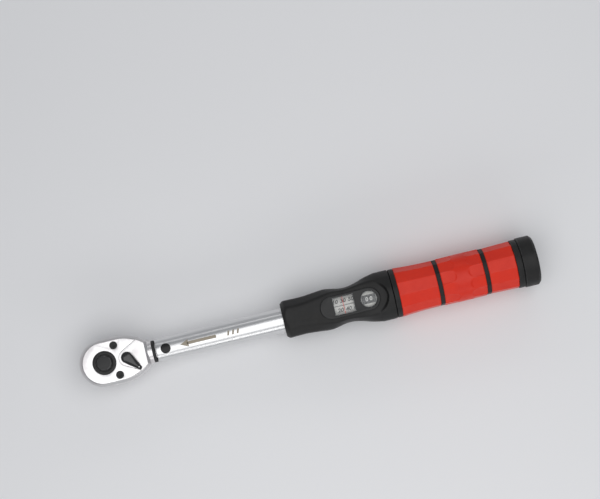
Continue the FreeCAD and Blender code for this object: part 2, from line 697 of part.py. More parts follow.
def make_trip_block():
    """Block between the tang and the plunger that tips over at the click."""
    return plate("trip_block", [
        ("block_start", "tang_offset - block_width / 2 + block_bevel"),
        ("block_start + block_bevel", "tang_offset - block_width / 2"),
        ("block_start + block_length - block_bevel", "tang_offset - block_width / 2"),
        ("block_start + block_length", "tang_offset - block_width / 2 + block_bevel"),
        ("block_start + block_length", "tang_offset + block_width / 2 - block_bevel"),
        ("block_start + block_length - block_bevel", "tang_offset + block_width / 2"),
        ("block_start + block_bevel", "tang_offset + block_width / 2"),
        ("block_start", "tang_offset + block_width / 2 - block_bevel")],
        {}, "block_width", "axis_height - block_width / 2")


def make_plunger():
    """Plunger between the trip block and the main spring."""
    return turned("plunger", [
        ("plunger_start", "0"), ("plunger_start", "tube_bore - fit - 1"),
        ("plunger_start + 1", "tube_bore - fit"),
        ("plunger_start + plunger_length", "tube_bore - fit"),
        ("plunger_start + plunger_length", "0")])


def make_pivot_pin():
    """Pin that joins the head to the tube, ground flush with the tube."""
    pin = rod("pin_rod", "pin_radius", "30", "pivot_x", z="axis_height - 15")
    return common("pivot_pin", pin, turned("pin_envelope", tube_profile("0")))


def tube_profile(inner):
    """Outline of the tube: tapered in front of the housing, straight inside it and the grip."""
    return [("tube_start", inner), ("tube_start", "tube_front - 0.3"), ("tube_start + 0.3", "tube_front"),
            ("housing_start", "tube_rear"), ("tube_end", "tube_rear"), ("tube_end", inner)]


def make_tube():
    """Steel tube with the pin's bore, two slots for the scale keys and the snap ring's groove."""
    blank = turned("tube_blank", tube_profile("tube_bore"))
    pin = rod("tube_pin_bore", "pin_radius", "30", "pivot_x", z="axis_height - 15")
    slot_start = "(key_x - nut_forward - key_radius - gap)"
    slot = block("key_slots", f"key_x + nut_back + key_radius + gap - {slot_start}", "30",
                 "2 * key_radius + 2 * gap", slot_start, z="axis_height - key_radius - gap")
    seat = rod("snap_seat", "tube_rear + 1", "snap_width", "snap_x", z="axis_height", along="x")
    ground = rod("snap_ground", "tube_rear - snap_depth", "snap_width", "snap_x", z="axis_height", along="x")
    screws = [rod(f"set_bore_{side > 0}", "1.5", "10", "set_screw_x", f"{side} * 6",
                  z="axis_height - 15") for side in (-1, 1)]
    return cut("tube", blank, pin, slot, cut("snap_groove", seat, ground), *screws)


def ring(name, start, length, inner, outer):
    """Plain ring about the tube's axis."""
    end = f"({start} + {length})"
    return turned(name, [(start, inner), (start, outer), (end, outer), (end, inner)])


# ------------------------------------------------------------------ spring, nut and scale

def make_main_spring():
    """Torque spring between the plunger and the spring seat."""
    return coil("main_spring", "spring_radius", "spring_wire", "seat_start - spring_start",
                "spring_turns", "spring_start")


def make_adjusting_nut():
    """Nut that runs on the spindle and carries the scale by its two keys."""
    blank = ring("nut_blank", "nut_start", "nut_length", "thread_radius + fit", "tube_bore - fit")
    bores = [rod(f"nut_key_bore_{side > 0}", "key_radius", "4", "key_x",
                 "5" if side > 0 else "-9", "axis_height", "y") for side in (-1, 1)]
    return cut("adjusting_nut", blank, *bores)


def make_scale_keys():
    """Two keys that join the nut to the scale sleeve through the tube's slots."""
    keys = [rod(f"key_{side > 0}", "key_radius", "scale_radius - 5", "key_x",
                "5" if side > 0 else "-scale_radius", "axis_height", "y") for side in (-1, 1)]
    group = doc.addObject("Part::Compound", "scale_keys")
    group.Links = keys
    return group


def make_scale_sleeve():
    """Printed sleeve round the tube that shows under the long window."""
    blank = ring("scale_blank", "scale_start", "scale_length", "tube_rear + gap", "scale_radius")
    bore = rod("scale_key_bore", "key_radius", "30", "key_x", "-15", "axis_height", "y")
    return cut("scale_sleeve", blank, bore)


def make_micrometer_drum():
    """Numbered drum under the round window, in one piece with its neck in the grip."""
    rim_end = "(drum_start + drum_width)"
    inner = "tube_rear + gap"
    neck_end = "(front_bush_start - 0.3)"
    return turned("micrometer_drum", [
        ("drum_start", "drum_radius - drum_wall"), ("drum_start", "drum_radius"),
        (rim_end, "drum_radius"), (rim_end, "core_bore"), (neck_end, "core_bore"), (neck_end, inner),
        (f"{rim_end} - drum_web", inner), (f"{rim_end} - drum_web", "drum_radius - drum_wall")])


# ------------------------------------------------------------------ window housing

def make_housing_shell():
    """Outer form: a waisted body with a flat top that runs out in a round rear end."""
    body = doc.addObject("PartDesign::Body", "housing_form")
    sections = []
    for number in range(len(HOUSING_STATIONS)):
        x, side, flat = (f"station_{number}_{part}" for part in ("x", "flank", "flat"))
        section = sketch_on(body, "YZ_Plane", f"housing_section_{number}", x)
        outline(section, [
            (f"-{flat}", "housing_top"), (f"-{side}", "housing_low"), (f"-{side}", "-housing_low"),
            (f"-{side} * 0.55", f"-{side}"), (f"{side} * 0.55", f"-{side}"), (side, "-housing_low"),
            (side, "housing_low"), (flat, "housing_top")])
        sections.append(section)
    loft = body.newObject("PartDesign::AdditiveLoft", "housing_loft")
    loft.Profile = sections[0]
    loft.Sections = sections[1:]
    loft.Ruled = False
    place(body, z="axis_height")
    lip = turned("housing_lip_ring", [
        ("housing_start", "0"), ("housing_start", "12"), ("station_0_x", "13.4"), ("station_0_x", "0")])
    collar = ring("housing_collar", "housing_end - collar_length", "collar_length", "0", "collar_radius")
    over = block("flat_over", "flat_end - flat_half - station_0_x", "50", "10", "station_0_x",
                 z="axis_height + housing_top")
    over_end = rod("flat_over_end", "flat_half", "10", "flat_end - flat_half",
                   z="axis_height + housing_top")
    return cut("housing_shell", fuse("housing_solid", body, lip, collar), over, over_end)


def stadium(name, start, end, half, height, z, bevel=None):
    """Plate with straight flanks and half-round ends, lying along x."""
    return plate(name, [
        (start, "0"), (f"{start} + {half}", f"-({half})"), (f"{end} - {half}", f"-({half})"),
        (end, "0"), (f"{end} - {half}", half), (f"{start} + {half}", half)],
        {0: half, 2: half, 3: half, 5: half}, height, z, bevel)


def long_window(name, grow, height, z):
    """Block the size of the long window, grown on each side."""
    return block(name, f"window_length + 2 * ({grow})", f"2 * window_half + 2 * ({grow})", height,
                 f"window_start - ({grow})", z=z)


def make_window_housing():
    """Moulded housing that is clamped on the tube and hollow round the scale and the drum."""
    clamp_end = "(housing_start + housing_grip)"
    hollow = turned("housing_hollow", [
        ("housing_start - 5", "0"), ("housing_start - 5", "tube_rear"), (clamp_end, "tube_rear"),
        (clamp_end, "scale_radius + 0.4"), ("drum_start - 1", "scale_radius + 0.4"),
        ("drum_start - 1", "drum_room"), ("housing_end + 5", "drum_room"),
        ("housing_end + 5", "0")])
    seat = stadium("bezel_seat", "bezel_start", "bezel_end", "bezel_half", "5", "bezel_bottom")
    slot = long_window("housing_long_window", "0", "9", "bezel_bottom - 5")
    eye = rod("housing_round_window", "round_radius", "9", "round_x", z="bezel_bottom - 5")
    screws = [rod(f"housing_screw_bore_{side > 0}", "1.5", "12", "set_screw_x", f"{side} * 6",
                  z="axis_height - 18") for side in (-1, 1)]
    return cut("window_housing", make_housing_shell(), hollow, seat, slot, eye, *screws)


def make_window_bezel():
    """Oval frame round the two windows, glued into the housing's flat top."""
    blank = stadium("bezel_blank", "bezel_start", "bezel_end", "bezel_half", "bezel_rise + bezel_depth",
                    "bezel_bottom", "0.5")
    slot = long_window("bezel_long_window", "-0.4", "9", "bezel_bottom - 5")
    lens_seat = long_window("bezel_lens_seat", "0.2", "5", "lens_level")
    eye = rod("bezel_round_window", "round_radius - 0.4", "9", "round_x", z="bezel_bottom - 5")
    eye_seat = rod("bezel_eye_seat", "round_radius + 0.2", "5", "round_x", z="lens_level")
    return cut("window_bezel", blank, slot, lens_seat, eye, eye_seat)


def make_housing_screws():
    """Two set screws that hold the housing on the tube, from below."""
    group = doc.addObject("Part::Compound", "housing_screws")
    group.Links = [rod(f"set_screw_{side > 0}", "1.5", "6", "set_screw_x", f"{side} * 6",
                       z="axis_height - 12.5") for side in (-1, 1)]
    return group


# ------------------------------------------------------------------ grip

BAND_ONE = ("(band_one - band_width / 2)", "(band_one + band_width / 2)")
BAND_TWO = ("(band_two - band_width / 2)", "(band_two + band_width / 2)")


def facet_section(name, x, radius):
    """Twelve-sided section of the grip at x."""
    section = tie(doc.addObject("Part::RegularPolygon", name), Polygon="grip_facets",
                  Circumradius=radius)
    place(section, x, "0", "axis_height")
    turn = FreeCAD.Rotation(X_AXIS, value("grip_turn")) * FreeCAD.Rotation(Y_AXIS, -90)
    section.Placement.Rotation = turn
    return section


def facet_sleeve(name, stations):
    """Faceted moulding round the core, through sections given as (x, radius)."""
    form = doc.addObject("Part::Loft", name + "_form")
    form.Sections = [facet_section(f"{name}_section_{n}", x, radius)
                     for n, (x, radius) in enumerate(stations)]
    form.Solid = True
    form.Ruled = True
    core = rod(name + "_core", "core_radius", "120", "grip_start - 5", z="axis_height", along="x")
    return cut(name, form, core)


def make_grip_core():
    """Core that turns on two bushes; its two ribs show as bands between the red sleeves."""
    ribs = []
    for number, (start, end) in enumerate((BAND_ONE, BAND_TWO)):
        rib = doc.addObject("Part::Loft", f"core_rib_{number}")
        rib.Sections = [facet_section(f"rib_{number}_{tag}", x, "grip_waist_radius - 0.1")
                        for tag, x in (("front", start), ("rear", end))]
        rib.Solid = True
        rib.Ruled = True
        ribs.append(rib)
    barrel = rod("core_barrel", "core_radius", "grip_end - grip_start", "grip_start", z="axis_height",
                 along="x")
    bore = turned("core_hollow", [
        ("grip_start - 1", "0"), ("grip_start - 1", "core_bore"), ("core_step", "core_bore"),
        ("core_step", "lock_room"), ("core_web", "lock_room"),
        ("core_web", "lock_outer + fit"), ("grip_end + 1", "lock_outer + fit"), ("grip_end + 1", "0")])
    slot = block("lock_key_slot", "lock_travel + 2 * lock_key_radius + 2 * gap", "19",
                 "2 * lock_key_radius + 2 * gap", "lock_key_x - lock_key_radius - gap",
                 z="axis_height - lock_key_radius - gap")
    return cut("grip_core", fuse("core_solid", barrel, *ribs), bore, slot)


def make_grip_bushes():
    """Two bushes that the grip turns on, either side of the snap ring."""
    group = doc.addObject("Part::Compound", "grip_bushes")
    group.Links = [
        ring("front_bush", "front_bush_start", "snap_x - gap - front_bush_start", "tube_rear + fit",
             "core_bore"),
        ring("rear_bush", "snap_x + snap_width + gap", "rear_bush_end - snap_x - snap_width - gap",
             "tube_rear + fit", "core_bore")]
    return group


# ------------------------------------------------------------------ spindle and lock

def make_spindle():
    """Screw that carries the nut, with a thrust collar and a hexagonal end in the lock sleeve."""
    shank = turned("spindle_shank", [
        ("spindle_start", "0"), ("spindle_start", "thread_radius - 0.5"),
        ("spindle_start + 0.5", "thread_radius"), ("spindle_collar", "thread_radius"),
        ("spindle_collar", "spindle_collar_radius"), ("bearing_start", "spindle_collar_radius"),
        ("bearing_start", "spindle_rear"), ("spindle_hex", "spindle_rear"), ("spindle_hex", "0")])
    hexagon = tie(doc.addObject("Part::Prism", "spindle_hexagon"), Circumradius="hex_size / sqrt(3)",
                  Height="spindle_end - spindle_hex")
    place(hexagon, "spindle_hex", "0", "axis_height", *TURNS["x"])
    return fuse("spindle", shank, hexagon)


def make_thrust_bearing():
    """Two washers with a ring of balls between the spindle's collar and the end plug."""
    washers = [ring(f"bearing_washer_{n}", start, "bearing_washer", "spindle_rear + 0.3",
                    "spindle_collar_radius")
               for n, start in enumerate(("bearing_start", "(plug_start - bearing_washer)"))]
    ball_size = "(bearing_length / 2 - bearing_washer)"
    ring_radius = "(spindle_rear + spindle_collar_radius) / 2"
    balls = []
    count = int(value("bearing_balls"))
    for number in range(count):
        turn = f"{360 * number / count}"
        ball = tie(doc.addObject("Part::Sphere", f"bearing_ball_{number}"), Radius=ball_size)
        place(ball, "bearing_start + bearing_length / 2", f"{ring_radius} * cos({turn})",
              f"axis_height + {ring_radius} * sin({turn})")
        balls.append(ball)
    group = doc.addObject("Part::Compound", "thrust_bearing")
    group.Links = washers + balls
    return group


def make_end_plug():
    """Plug pressed into the tube; its cone is what the lock sleeve clamps on."""
    flange_end = "(tube_end + plug_flange)"
    return turned("end_plug", [
        ("plug_start", "spindle_rear + fit"), ("plug_start", "tube_bore"), ("tube_end", "tube_bore"),
        ("tube_end", "tube_rear"), (flange_end, "tube_rear"), (flange_end, "plug_nose_radius"),
        (f"{flange_end} + plug_nose", "plug_tip_radius"),
        (f"{flange_end} + plug_nose", "spindle_rear + fit")])


def make_lock_sleeve():
    """Sleeve that joins the knob to the cone of the end plug and takes the spindle's hexagon."""
    slope_end = "(flare_start + plug_nose + 0.4)"
    turning = turned("lock_turning", [
        ("flare_start", "plug_nose_radius + gap + 0.1"), ("flare_start", "lock_flare"),
        ("flare_end", "lock_flare"), ("flare_end", "lock_outer"), ("knob_start", "lock_outer"),
        ("knob_start", "0"), ("spindle_hex + 1", "0"), ("spindle_hex + 1", "spindle_rear + gap"),
        (slope_end, "spindle_rear + gap"), (slope_end, "plug_tip_radius + gap + 0.1")])
    socket = tie(doc.addObject("Part::Prism", "lock_hexagon"), Circumradius="hex_size / sqrt(3) + 0.2",
                 Height="spindle_end - spindle_hex + 0.2")
    place(socket, "spindle_hex", "0", "axis_height", *TURNS["x"])
    thread = rod("lock_thread", "knob_screw_radius", "8", "knob_start - 3", z="axis_height", along="x")
    key = rod("lock_key_bore", "lock_key_radius", "20", "lock_key_x", "4", "axis_height", "y")
    return cut("lock_sleeve", turning, socket, thread, key)


def make_lock_key():
    """Key in the lock sleeve that slides in the core's slot."""
    return rod("lock_key", "lock_key_radius", "4.8", "lock_key_x", "4", "axis_height", "y")


def make_lock_knob():
    """Knob at the end of the handle, screwed to the lock sleeve."""
    return turned("lock_knob", [
        ("knob_start", "knob_screw_radius + 0.2"), ("knob_start", "knob_radius - 0.5"),
        ("knob_start + 0.5", "knob_radius"), ("knob_end - knob_bevel", "knob_radius"),
        ("knob_end", "knob_radius - knob_bevel"), ("knob_end", "5"), ("knob_end - 3.4", "5"),
        ("knob_end - 3.4", "knob_screw_radius + 0.2")])


def make_knob_screw():
    """Screw that holds the knob on the lock sleeve."""
    turning = turned("knob_screw_turning", [
        ("knob_start - 3", "0"), ("knob_start - 3", "knob_screw_radius"),
        ("knob_end - 3.4", "knob_screw_radius"), ("knob_end - 3.4", "3.6"),
        ("knob_end - 0.9", "3.6"), ("knob_end - 0.9", "0")])
    socket = tie(doc.addObject("Part::Prism", "knob_screw_socket"), Circumradius="1.7", Height="4")
    place(socket, "knob_end - 2.4", "0", "axis_height", *TURNS["x"])
    return cut("knob_screw", turning, socket)


# ------------------------------------------------------------------ the assembly

NODES = [
    make_head_body(), make_cover_plate(), make_cover_screws(), make_drive_gear(),
    make_release_button(), make_button_clip(), make_detent_ball(), make_pawl(),
    coil("button_spring", "3.9", "0.35", "flange_level - button_seat", "3", z="button_seat",
         along="z"),
    make_selector_lever(), make_shaft_clip(),
    ring("neck_ring", "neck_end", "ring_width", "6.5", "ring_radius"),
    make_pivot_pin(), make_tube(), make_trip_block(), make_plunger(), make_main_spring(),
    ring("spring_seat", "seat_start", "seat_length", "thread_radius + gap", "tube_bore - 0.3"),
    make_adjusting_nut(), make_scale_keys(), make_scale_sleeve(), make_micrometer_drum(),
    make_window_housing(), make_window_bezel(),
    long_window("long_lens", "0.2", "lens_thickness", "lens_level"),
    rod("round_lens", "round_radius + 0.2", "lens_thickness", "round_x", z="lens_level"),
    block("reading_line", "reading_width", "2 * window_half - 0.8", "0.3", "reading_x - reading_width / 2",
          z="lens_level - 0.3"),
    make_housing_screws(), make_spindle(), make_thrust_bearing(), make_end_plug(), make_grip_core(),
    make_grip_bushes(), ring("grip_snap_ring", "snap_x", "snap_width", "tube_rear - snap_depth",
                             "snap_radius"),
    facet_sleeve("grip_front", [("grip_start", "grip_front_radius"), (BAND_ONE[0], "grip_waist_radius")]),
    facet_sleeve("grip_middle", [
        (BAND_ONE[1], "grip_waist_radius"), ("band_one / 2 + band_two / 2", "grip_swell_radius"),
        (BAND_TWO[0], "grip_waist_radius")]),
    facet_sleeve("grip_rear", [(BAND_TWO[1], "grip_waist_radius"), ("grip_end", "grip_rear_radius")]),
    ring("front_ring", "housing_end + collar_gap", "grip_start - housing_end - collar_gap", "core_bore",
         "collar_radius - 0.1"),
    ring("rear_ring", "grip_end", "rear_ring_length", "lock_outer + 0.4", "rear_ring_radius"),
    make_lock_sleeve(), make_lock_key(), make_lock_knob(), make_knob_screw(),
    coil("lock_spring", "8.1", "0.5", "core_web - flare_end", "3", "flare_end"),
]
doc.recompute()


def check(nodes):
    """Stop if an object of the document failed or a sub-part has no sound solid."""
    for item in doc.Objects:
        if "Invalid" in item.State or "Error" in item.State:
            raise RuntimeError(f"{item.Label} failed: {item.State}")
    for node in nodes:
        if node.Shape.isNull() or not node.Shape.isValid() or not node.Shape.Solids:
            raise RuntimeError(f"{node.Label} has no sound solid")


def export(nodes):
    """Write one STEP file for each sub-part."""
    os.makedirs("parts", exist_ok=True)
    for node in nodes:
        node.Shape.exportStep(f"parts/{node.Label}.step")


check(NODES)
export(NODES)
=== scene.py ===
"""Click-type torque wrench: ratchet head, chrome tube, window housing, scale, grip and lock knob."""
import logging
import math
from dataclasses import dataclass, field
from enum import Enum
from functools import lru_cache
from typing import Callable, Iterable, Sequence

import bmesh
import bpy
import numpy as np
from mathutils import Matrix, Vector


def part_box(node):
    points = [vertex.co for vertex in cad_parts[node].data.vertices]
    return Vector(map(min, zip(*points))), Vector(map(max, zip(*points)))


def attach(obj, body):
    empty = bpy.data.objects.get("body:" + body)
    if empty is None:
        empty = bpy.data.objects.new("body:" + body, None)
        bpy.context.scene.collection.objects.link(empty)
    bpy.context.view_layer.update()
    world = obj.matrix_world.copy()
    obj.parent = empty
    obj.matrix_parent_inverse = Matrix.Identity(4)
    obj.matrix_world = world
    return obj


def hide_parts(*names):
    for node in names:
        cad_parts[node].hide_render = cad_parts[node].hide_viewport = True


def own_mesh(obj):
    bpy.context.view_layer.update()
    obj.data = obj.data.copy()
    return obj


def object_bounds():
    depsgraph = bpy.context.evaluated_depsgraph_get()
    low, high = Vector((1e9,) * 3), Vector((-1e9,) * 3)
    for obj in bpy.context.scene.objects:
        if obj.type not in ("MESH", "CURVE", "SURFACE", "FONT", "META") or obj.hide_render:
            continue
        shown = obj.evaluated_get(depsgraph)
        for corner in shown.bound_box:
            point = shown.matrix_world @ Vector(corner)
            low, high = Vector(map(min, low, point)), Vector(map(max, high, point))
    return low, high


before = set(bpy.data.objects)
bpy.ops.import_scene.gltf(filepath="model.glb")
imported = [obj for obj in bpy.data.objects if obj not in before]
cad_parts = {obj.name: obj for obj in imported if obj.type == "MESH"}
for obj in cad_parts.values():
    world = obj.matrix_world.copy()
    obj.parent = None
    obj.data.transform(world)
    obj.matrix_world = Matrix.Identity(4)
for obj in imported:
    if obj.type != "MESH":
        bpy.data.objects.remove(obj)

log = logging.getLogger("torque_wrench")

MM = 0.001
CAD_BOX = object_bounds()
Point = tuple[float, float]
Ring = list[tuple[float, float, float]]


# ---------------------------------------------------------------- places

@lru_cache(maxsize=None)
def low(node: str) -> Vector:
    """Lowest corner of a CAD node at rest, in millimetres."""
    return Vector(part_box(node)[0]) / MM


@lru_cache(maxsize=None)
def high(node: str) -> Vector:
    """Highest corner of a CAD node at rest, in millimetres."""
    return Vector(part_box(node)[1]) / MM


AXIS_Z = (low("tube").z + high("tube").z) / 2


class Along(Enum):
    """Axis that a turned piece goes round."""

    X = "x"
    Z = "z"


# ---------------------------------------------------------------- node trees

class Graph:
    """A shader or geometry node tree that is filled by short calls."""

    def __init__(self, tree: bpy.types.NodeTree) -> None:
        """Keep the tree and empty it.

        Args:
            tree: the node tree to fill.
        """
        self.tree = tree
        tree.nodes.clear()

    def add(self, kind: str, inputs: dict | None = None, **settings: object) -> bpy.types.Node:
        """Add a node, set its properties and feed its inputs.

        Args:
            kind: the node's type name.
            inputs: socket name or number to a value or to the socket that feeds it.
            settings: properties of the node.

        Returns:
            The new node.
        """
        node = self.tree.nodes.new(kind)
        for name, setting in settings.items():
            setattr(node, name, setting)
        for key, feed in (inputs or {}).items():
            socket = node.inputs[key]
            if isinstance(feed, bpy.types.NodeSocket):
                self.tree.links.new(feed, socket)
            else:
                socket.default_value = feed
        return node

    def math(self, operation: str, *feeds: object) -> bpy.types.NodeSocket:
        """Add a Math node and return its output.

        Args:
            operation: the Math node's operation.
            feeds: values or sockets for its inputs, in order.

        Returns:
            The result socket.
        """
        node = self.add("ShaderNodeMath", dict(enumerate(feeds)), operation=operation)
        return node.outputs[0]

    def blend(self, share: object, first: object, second: object) -> bpy.types.NodeSocket:
        """Mix two colours by a share and return the result socket."""
        node = self.add("ShaderNodeMix", data_type="RGBA")
        for socket, feed in zip((node.inputs[0], node.inputs[6], node.inputs[7]), (share, first, second)):
            if isinstance(feed, bpy.types.NodeSocket):
                self.tree.links.new(feed, socket)
            else:
                socket.default_value = feed
        return node.outputs[2]

    def spread(self, value: object, from_low: float, from_high: float, to_low: float,
               to_high: float) -> bpy.types.NodeSocket:
        """Map a value from one span to another, clamped, and return the result socket."""
        node = self.add("ShaderNodeMapRange", {0: value, 1: from_low, 2: from_high, 3: to_low,
                                               4: to_high})
        return node.outputs[0]


def new_group(name: str, kind: str, ins: Sequence[tuple], outs: Sequence[tuple]) -> Graph:
    """Make a node group with named sockets.

    Args:
        name: the group's name.
        kind: its tree type.
        ins: (name, socket type, default or None) of each input.
        outs: (name, socket type) of each output.

    Returns:
        The graph of the new group, with nothing in it.
    """
    tree = bpy.data.node_groups.new(name, kind)
    for title, socket_type, default in ins:
        socket = tree.interface.new_socket(title, in_out="INPUT", socket_type=socket_type)
        if default is not None:
            socket.default_value = default
    for title, socket_type in outs:
        tree.interface.new_socket(title, in_out="OUTPUT", socket_type=socket_type)
    return Graph(tree)


def grain_group() -> bpy.types.NodeTree:
    """Fine surface grain: a height for the bump and a slow mottling of the tone."""
    graph = new_group("surface_grain", "ShaderNodeTree",
                      [("Vector", "NodeSocketVector", None), ("Grain per m", "NodeSocketFloat", 1500.0),
                       ("Mottle per m", "NodeSocketFloat", 80.0), ("Seed", "NodeSocketFloat", 3.0)],
                      [("Height", "NodeSocketFloat"), ("Mottle", "NodeSocketFloat")])
    given = graph.add("NodeGroupInput").outputs
    fine = graph.add("ShaderNodeTexNoise", {"Vector": given["Vector"], "Scale": given["Grain per m"],
                                            "Detail": 3.0, "Roughness": 0.6, "W": given["Seed"]},
                     noise_dimensions="4D")
    slow = graph.add("ShaderNodeTexNoise", {"Vector": given["Vector"], "Scale": given["Mottle per m"],
                                            "Detail": 5.0, "Roughness": 0.62, "W": given["Seed"]},
                     noise_dimensions="4D")
    graph.add("NodeGroupOutput", {"Height": fine.outputs[0],
                                  "Mottle": graph.spread(slow.outputs[0], 0.3, 0.7, 0.0, 1.0)})
    return graph.tree


def wear_group() -> bpy.types.NodeTree:
    """Edge wear: the piece's edge attribute broken up by noise, with a few stray scratches."""
    graph = new_group("edge_wear", "ShaderNodeTree",
                      [("Vector", "NodeSocketVector", None), ("Amount", "NodeSocketFloat", 0.5),
                       ("Scratches", "NodeSocketFloat", 0.2)],
                      [("Mask", "NodeSocketFloat")])
    given = graph.add("NodeGroupInput").outputs
    edge = graph.add("ShaderNodeAttribute", attribute_name="edge").outputs["Fac"]
    chips = graph.add("ShaderNodeTexNoise", {"Vector": given["Vector"], "Scale": 900.0, "Detail": 6.0,
                                             "Roughness": 0.7}).outputs[0]
    broken = graph.spread(chips, 0.42, 0.62, 0.0, 1.0)
    worn = graph.math("MULTIPLY", graph.math("MULTIPLY", edge, broken), given["Amount"])
    lines = graph.add("ShaderNodeTexNoise", {
        "Vector": graph.add("ShaderNodeMapping", {"Vector": given["Vector"], "Rotation": (0.3, 0.2, 0.7),
                                                  "Scale": (30.0, 1600.0, 900.0)}).outputs[0],
        "Scale": 1.0, "Detail": 2.0}).outputs[0]
    scratch = graph.math("MULTIPLY", graph.spread(lines, 0.66, 0.72, 0.0, 1.0), given["Scratches"])
    graph.add("NodeGroupOutput", {"Mask": graph.math("MAXIMUM", worn, scratch)})
    return graph.tree


def dust_group() -> bpy.types.NodeTree:
    """Thin dust that settles on what faces up, in soft patches and specks."""
    graph = new_group("settled_dust", "ShaderNodeTree",
                      [("Vector", "NodeSocketVector", None), ("Amount", "NodeSocketFloat", 0.1)],
                      [("Mask", "NodeSocketFloat")])
    given = graph.add("NodeGroupInput").outputs
    normal = graph.add("ShaderNodeSeparateXYZ",
                       {0: graph.add("ShaderNodeNewGeometry").outputs["Normal"]}).outputs[2]
    patch = graph.add("ShaderNodeTexNoise", {"Vector": given["Vector"], "Scale": 60.0, "Detail": 8.0,
                                             "Roughness": 0.75}).outputs[0]
    speck = graph.add("ShaderNodeTexVoronoi", {"Vector": given["Vector"], "Scale": 420.0}).outputs[0]
    soft = graph.math("MULTIPLY", graph.spread(patch, 0.45, 0.75, 0.0, 0.8), given["Amount"])
    dots = graph.math("MULTIPLY", graph.spread(speck, 0.04, 0.09, 1.0, 0.0), given["Amount"])
    both = graph.math("ADD", soft, dots)
    graph.add("NodeGroupOutput", {"Mask": graph.math("MULTIPLY", both,
                                                     graph.spread(normal, 0.2, 0.9, 0.0, 1.0))})
    return graph.tree


GRAIN, WEAR, DUST = grain_group(), wear_group(), dust_group()


# ---------------------------------------------------------------- finishes

@dataclass(frozen=True)
class Finish:
    """An opaque finish: its tones, gloss, grain, wear along edges and dust."""

    name: str
    tone: tuple[float, float, float]
    mottle: tuple[float, float, float]
    rough: tuple[float, float] = (0.3, 0.45)
    metallic: float = 0.0
    grain_per_mm: float = 2.0
    mottle_per_mm: float = 0.08
    stretch: tuple[float, float, float] = (1.0, 1.0, 1.0)
    bump_mm: float = 0.01
    bump: float = 0.4
    worn: tuple[float, float, float] = (0.6, 0.6, 0.6)
    wear: float = 0.3
    scratches: float = 0.05
    dust: float = 0.06
    coat: float = 0.0
    coat_rough: float = 0.1
    specular: float = 0.5

    def build(self) -> bpy.types.Material:
        """Make the finish's material, or return it if it is there already."""
        material = bpy.data.materials.get(self.name)
        if material:
            return material
        material = bpy.data.materials.new(self.name)
        material.use_nodes = True
        graph = Graph(material.node_tree)
        place = graph.add("ShaderNodeTexCoord").outputs["Object"]
        run = graph.add("ShaderNodeMapping", {"Vector": place, "Scale": self.stretch}).outputs[0]
        grain = graph.add("ShaderNodeGroup", node_tree=GRAIN)
        graph.tree.links.new(run, grain.inputs["Vector"])
        grain.inputs["Grain per m"].default_value = self.grain_per_mm / MM
        grain.inputs["Mottle per m"].default_value = self.mottle_per_mm / MM
        wear = graph.add("ShaderNodeGroup", {}, node_tree=WEAR)
        graph.tree.links.new(place, wear.inputs["Vector"])
        wear.inputs["Amount"].default_value = self.wear
        wear.inputs["Scratches"].default_value = self.scratches
        dust = graph.add("ShaderNodeGroup", {}, node_tree=DUST)
        graph.tree.links.new(place, dust.inputs["Vector"])
        dust.inputs["Amount"].default_value = self.dust
        tone = graph.blend(grain.outputs["Mottle"], (*self.tone, 1), (*self.mottle, 1))
        tone = graph.blend(wear.outputs["Mask"], tone, (*self.worn, 1))
        tone = graph.blend(dust.outputs["Mask"], tone, (0.42, 0.41, 0.39, 1))
        rough = graph.spread(graph.math("ADD", grain.outputs["Mottle"],
                                        graph.math("MULTIPLY", dust.outputs["Mask"], 1.5)),
                             0.0, 1.0, self.rough[0], self.rough[1])
        bump = graph.add("ShaderNodeBump", {"Strength": self.bump, "Distance": self.bump_mm * MM,
                                            "Height": grain.outputs["Height"]})
        shader = graph.add("ShaderNodeBsdfPrincipled", {
            "Base Color": tone, "Roughness": rough, "Metallic": self.metallic,
            "Normal": bump.outputs[0], "Coat Weight": self.coat, "Coat Roughness": self.coat_rough,
            "Specular IOR Level": self.specular})
        graph.add("ShaderNodeOutputMaterial", {0: shader.outputs[0]})
        return material


@dataclass(frozen=True)
class ClearFinish:
    """Thin clear plastic that shows what is behind it and shines towards its rim."""

    name: str
    facing: float = 0.08
    grazing: float = 0.75

    def build(self) -> bpy.types.Material:
        """Make the finish's material, or return it if it is there already."""
        material = bpy.data.materials.get(self.name)
        if material:
            return material
        material = bpy.data.materials.new(self.name)
        material.use_nodes = True
        graph = Graph(material.node_tree)
        place = graph.add("ShaderNodeTexCoord").outputs["Object"]
        haze = graph.add("ShaderNodeTexNoise", {"Vector": place, "Scale": 260.0, "Detail": 6.0}).outputs[0]
        rim = graph.add("ShaderNodeLayerWeight", {"Blend": 0.35}).outputs["Facing"]
        alpha = graph.spread(rim, 0.05, 0.9, self.facing, self.grazing)
        shader = graph.add("ShaderNodeBsdfPrincipled", {
            "Base Color": (0.9, 0.92, 0.92, 1), "Roughness": graph.spread(haze, 0.3, 0.7, 0.02, 0.08),
            "Alpha": alpha, "Specular IOR Level": 1.0, "Coat Weight": 0.6, "Coat Roughness": 0.03})
        graph.add("ShaderNodeOutputMaterial", {0: shader.outputs[0]})
        return material


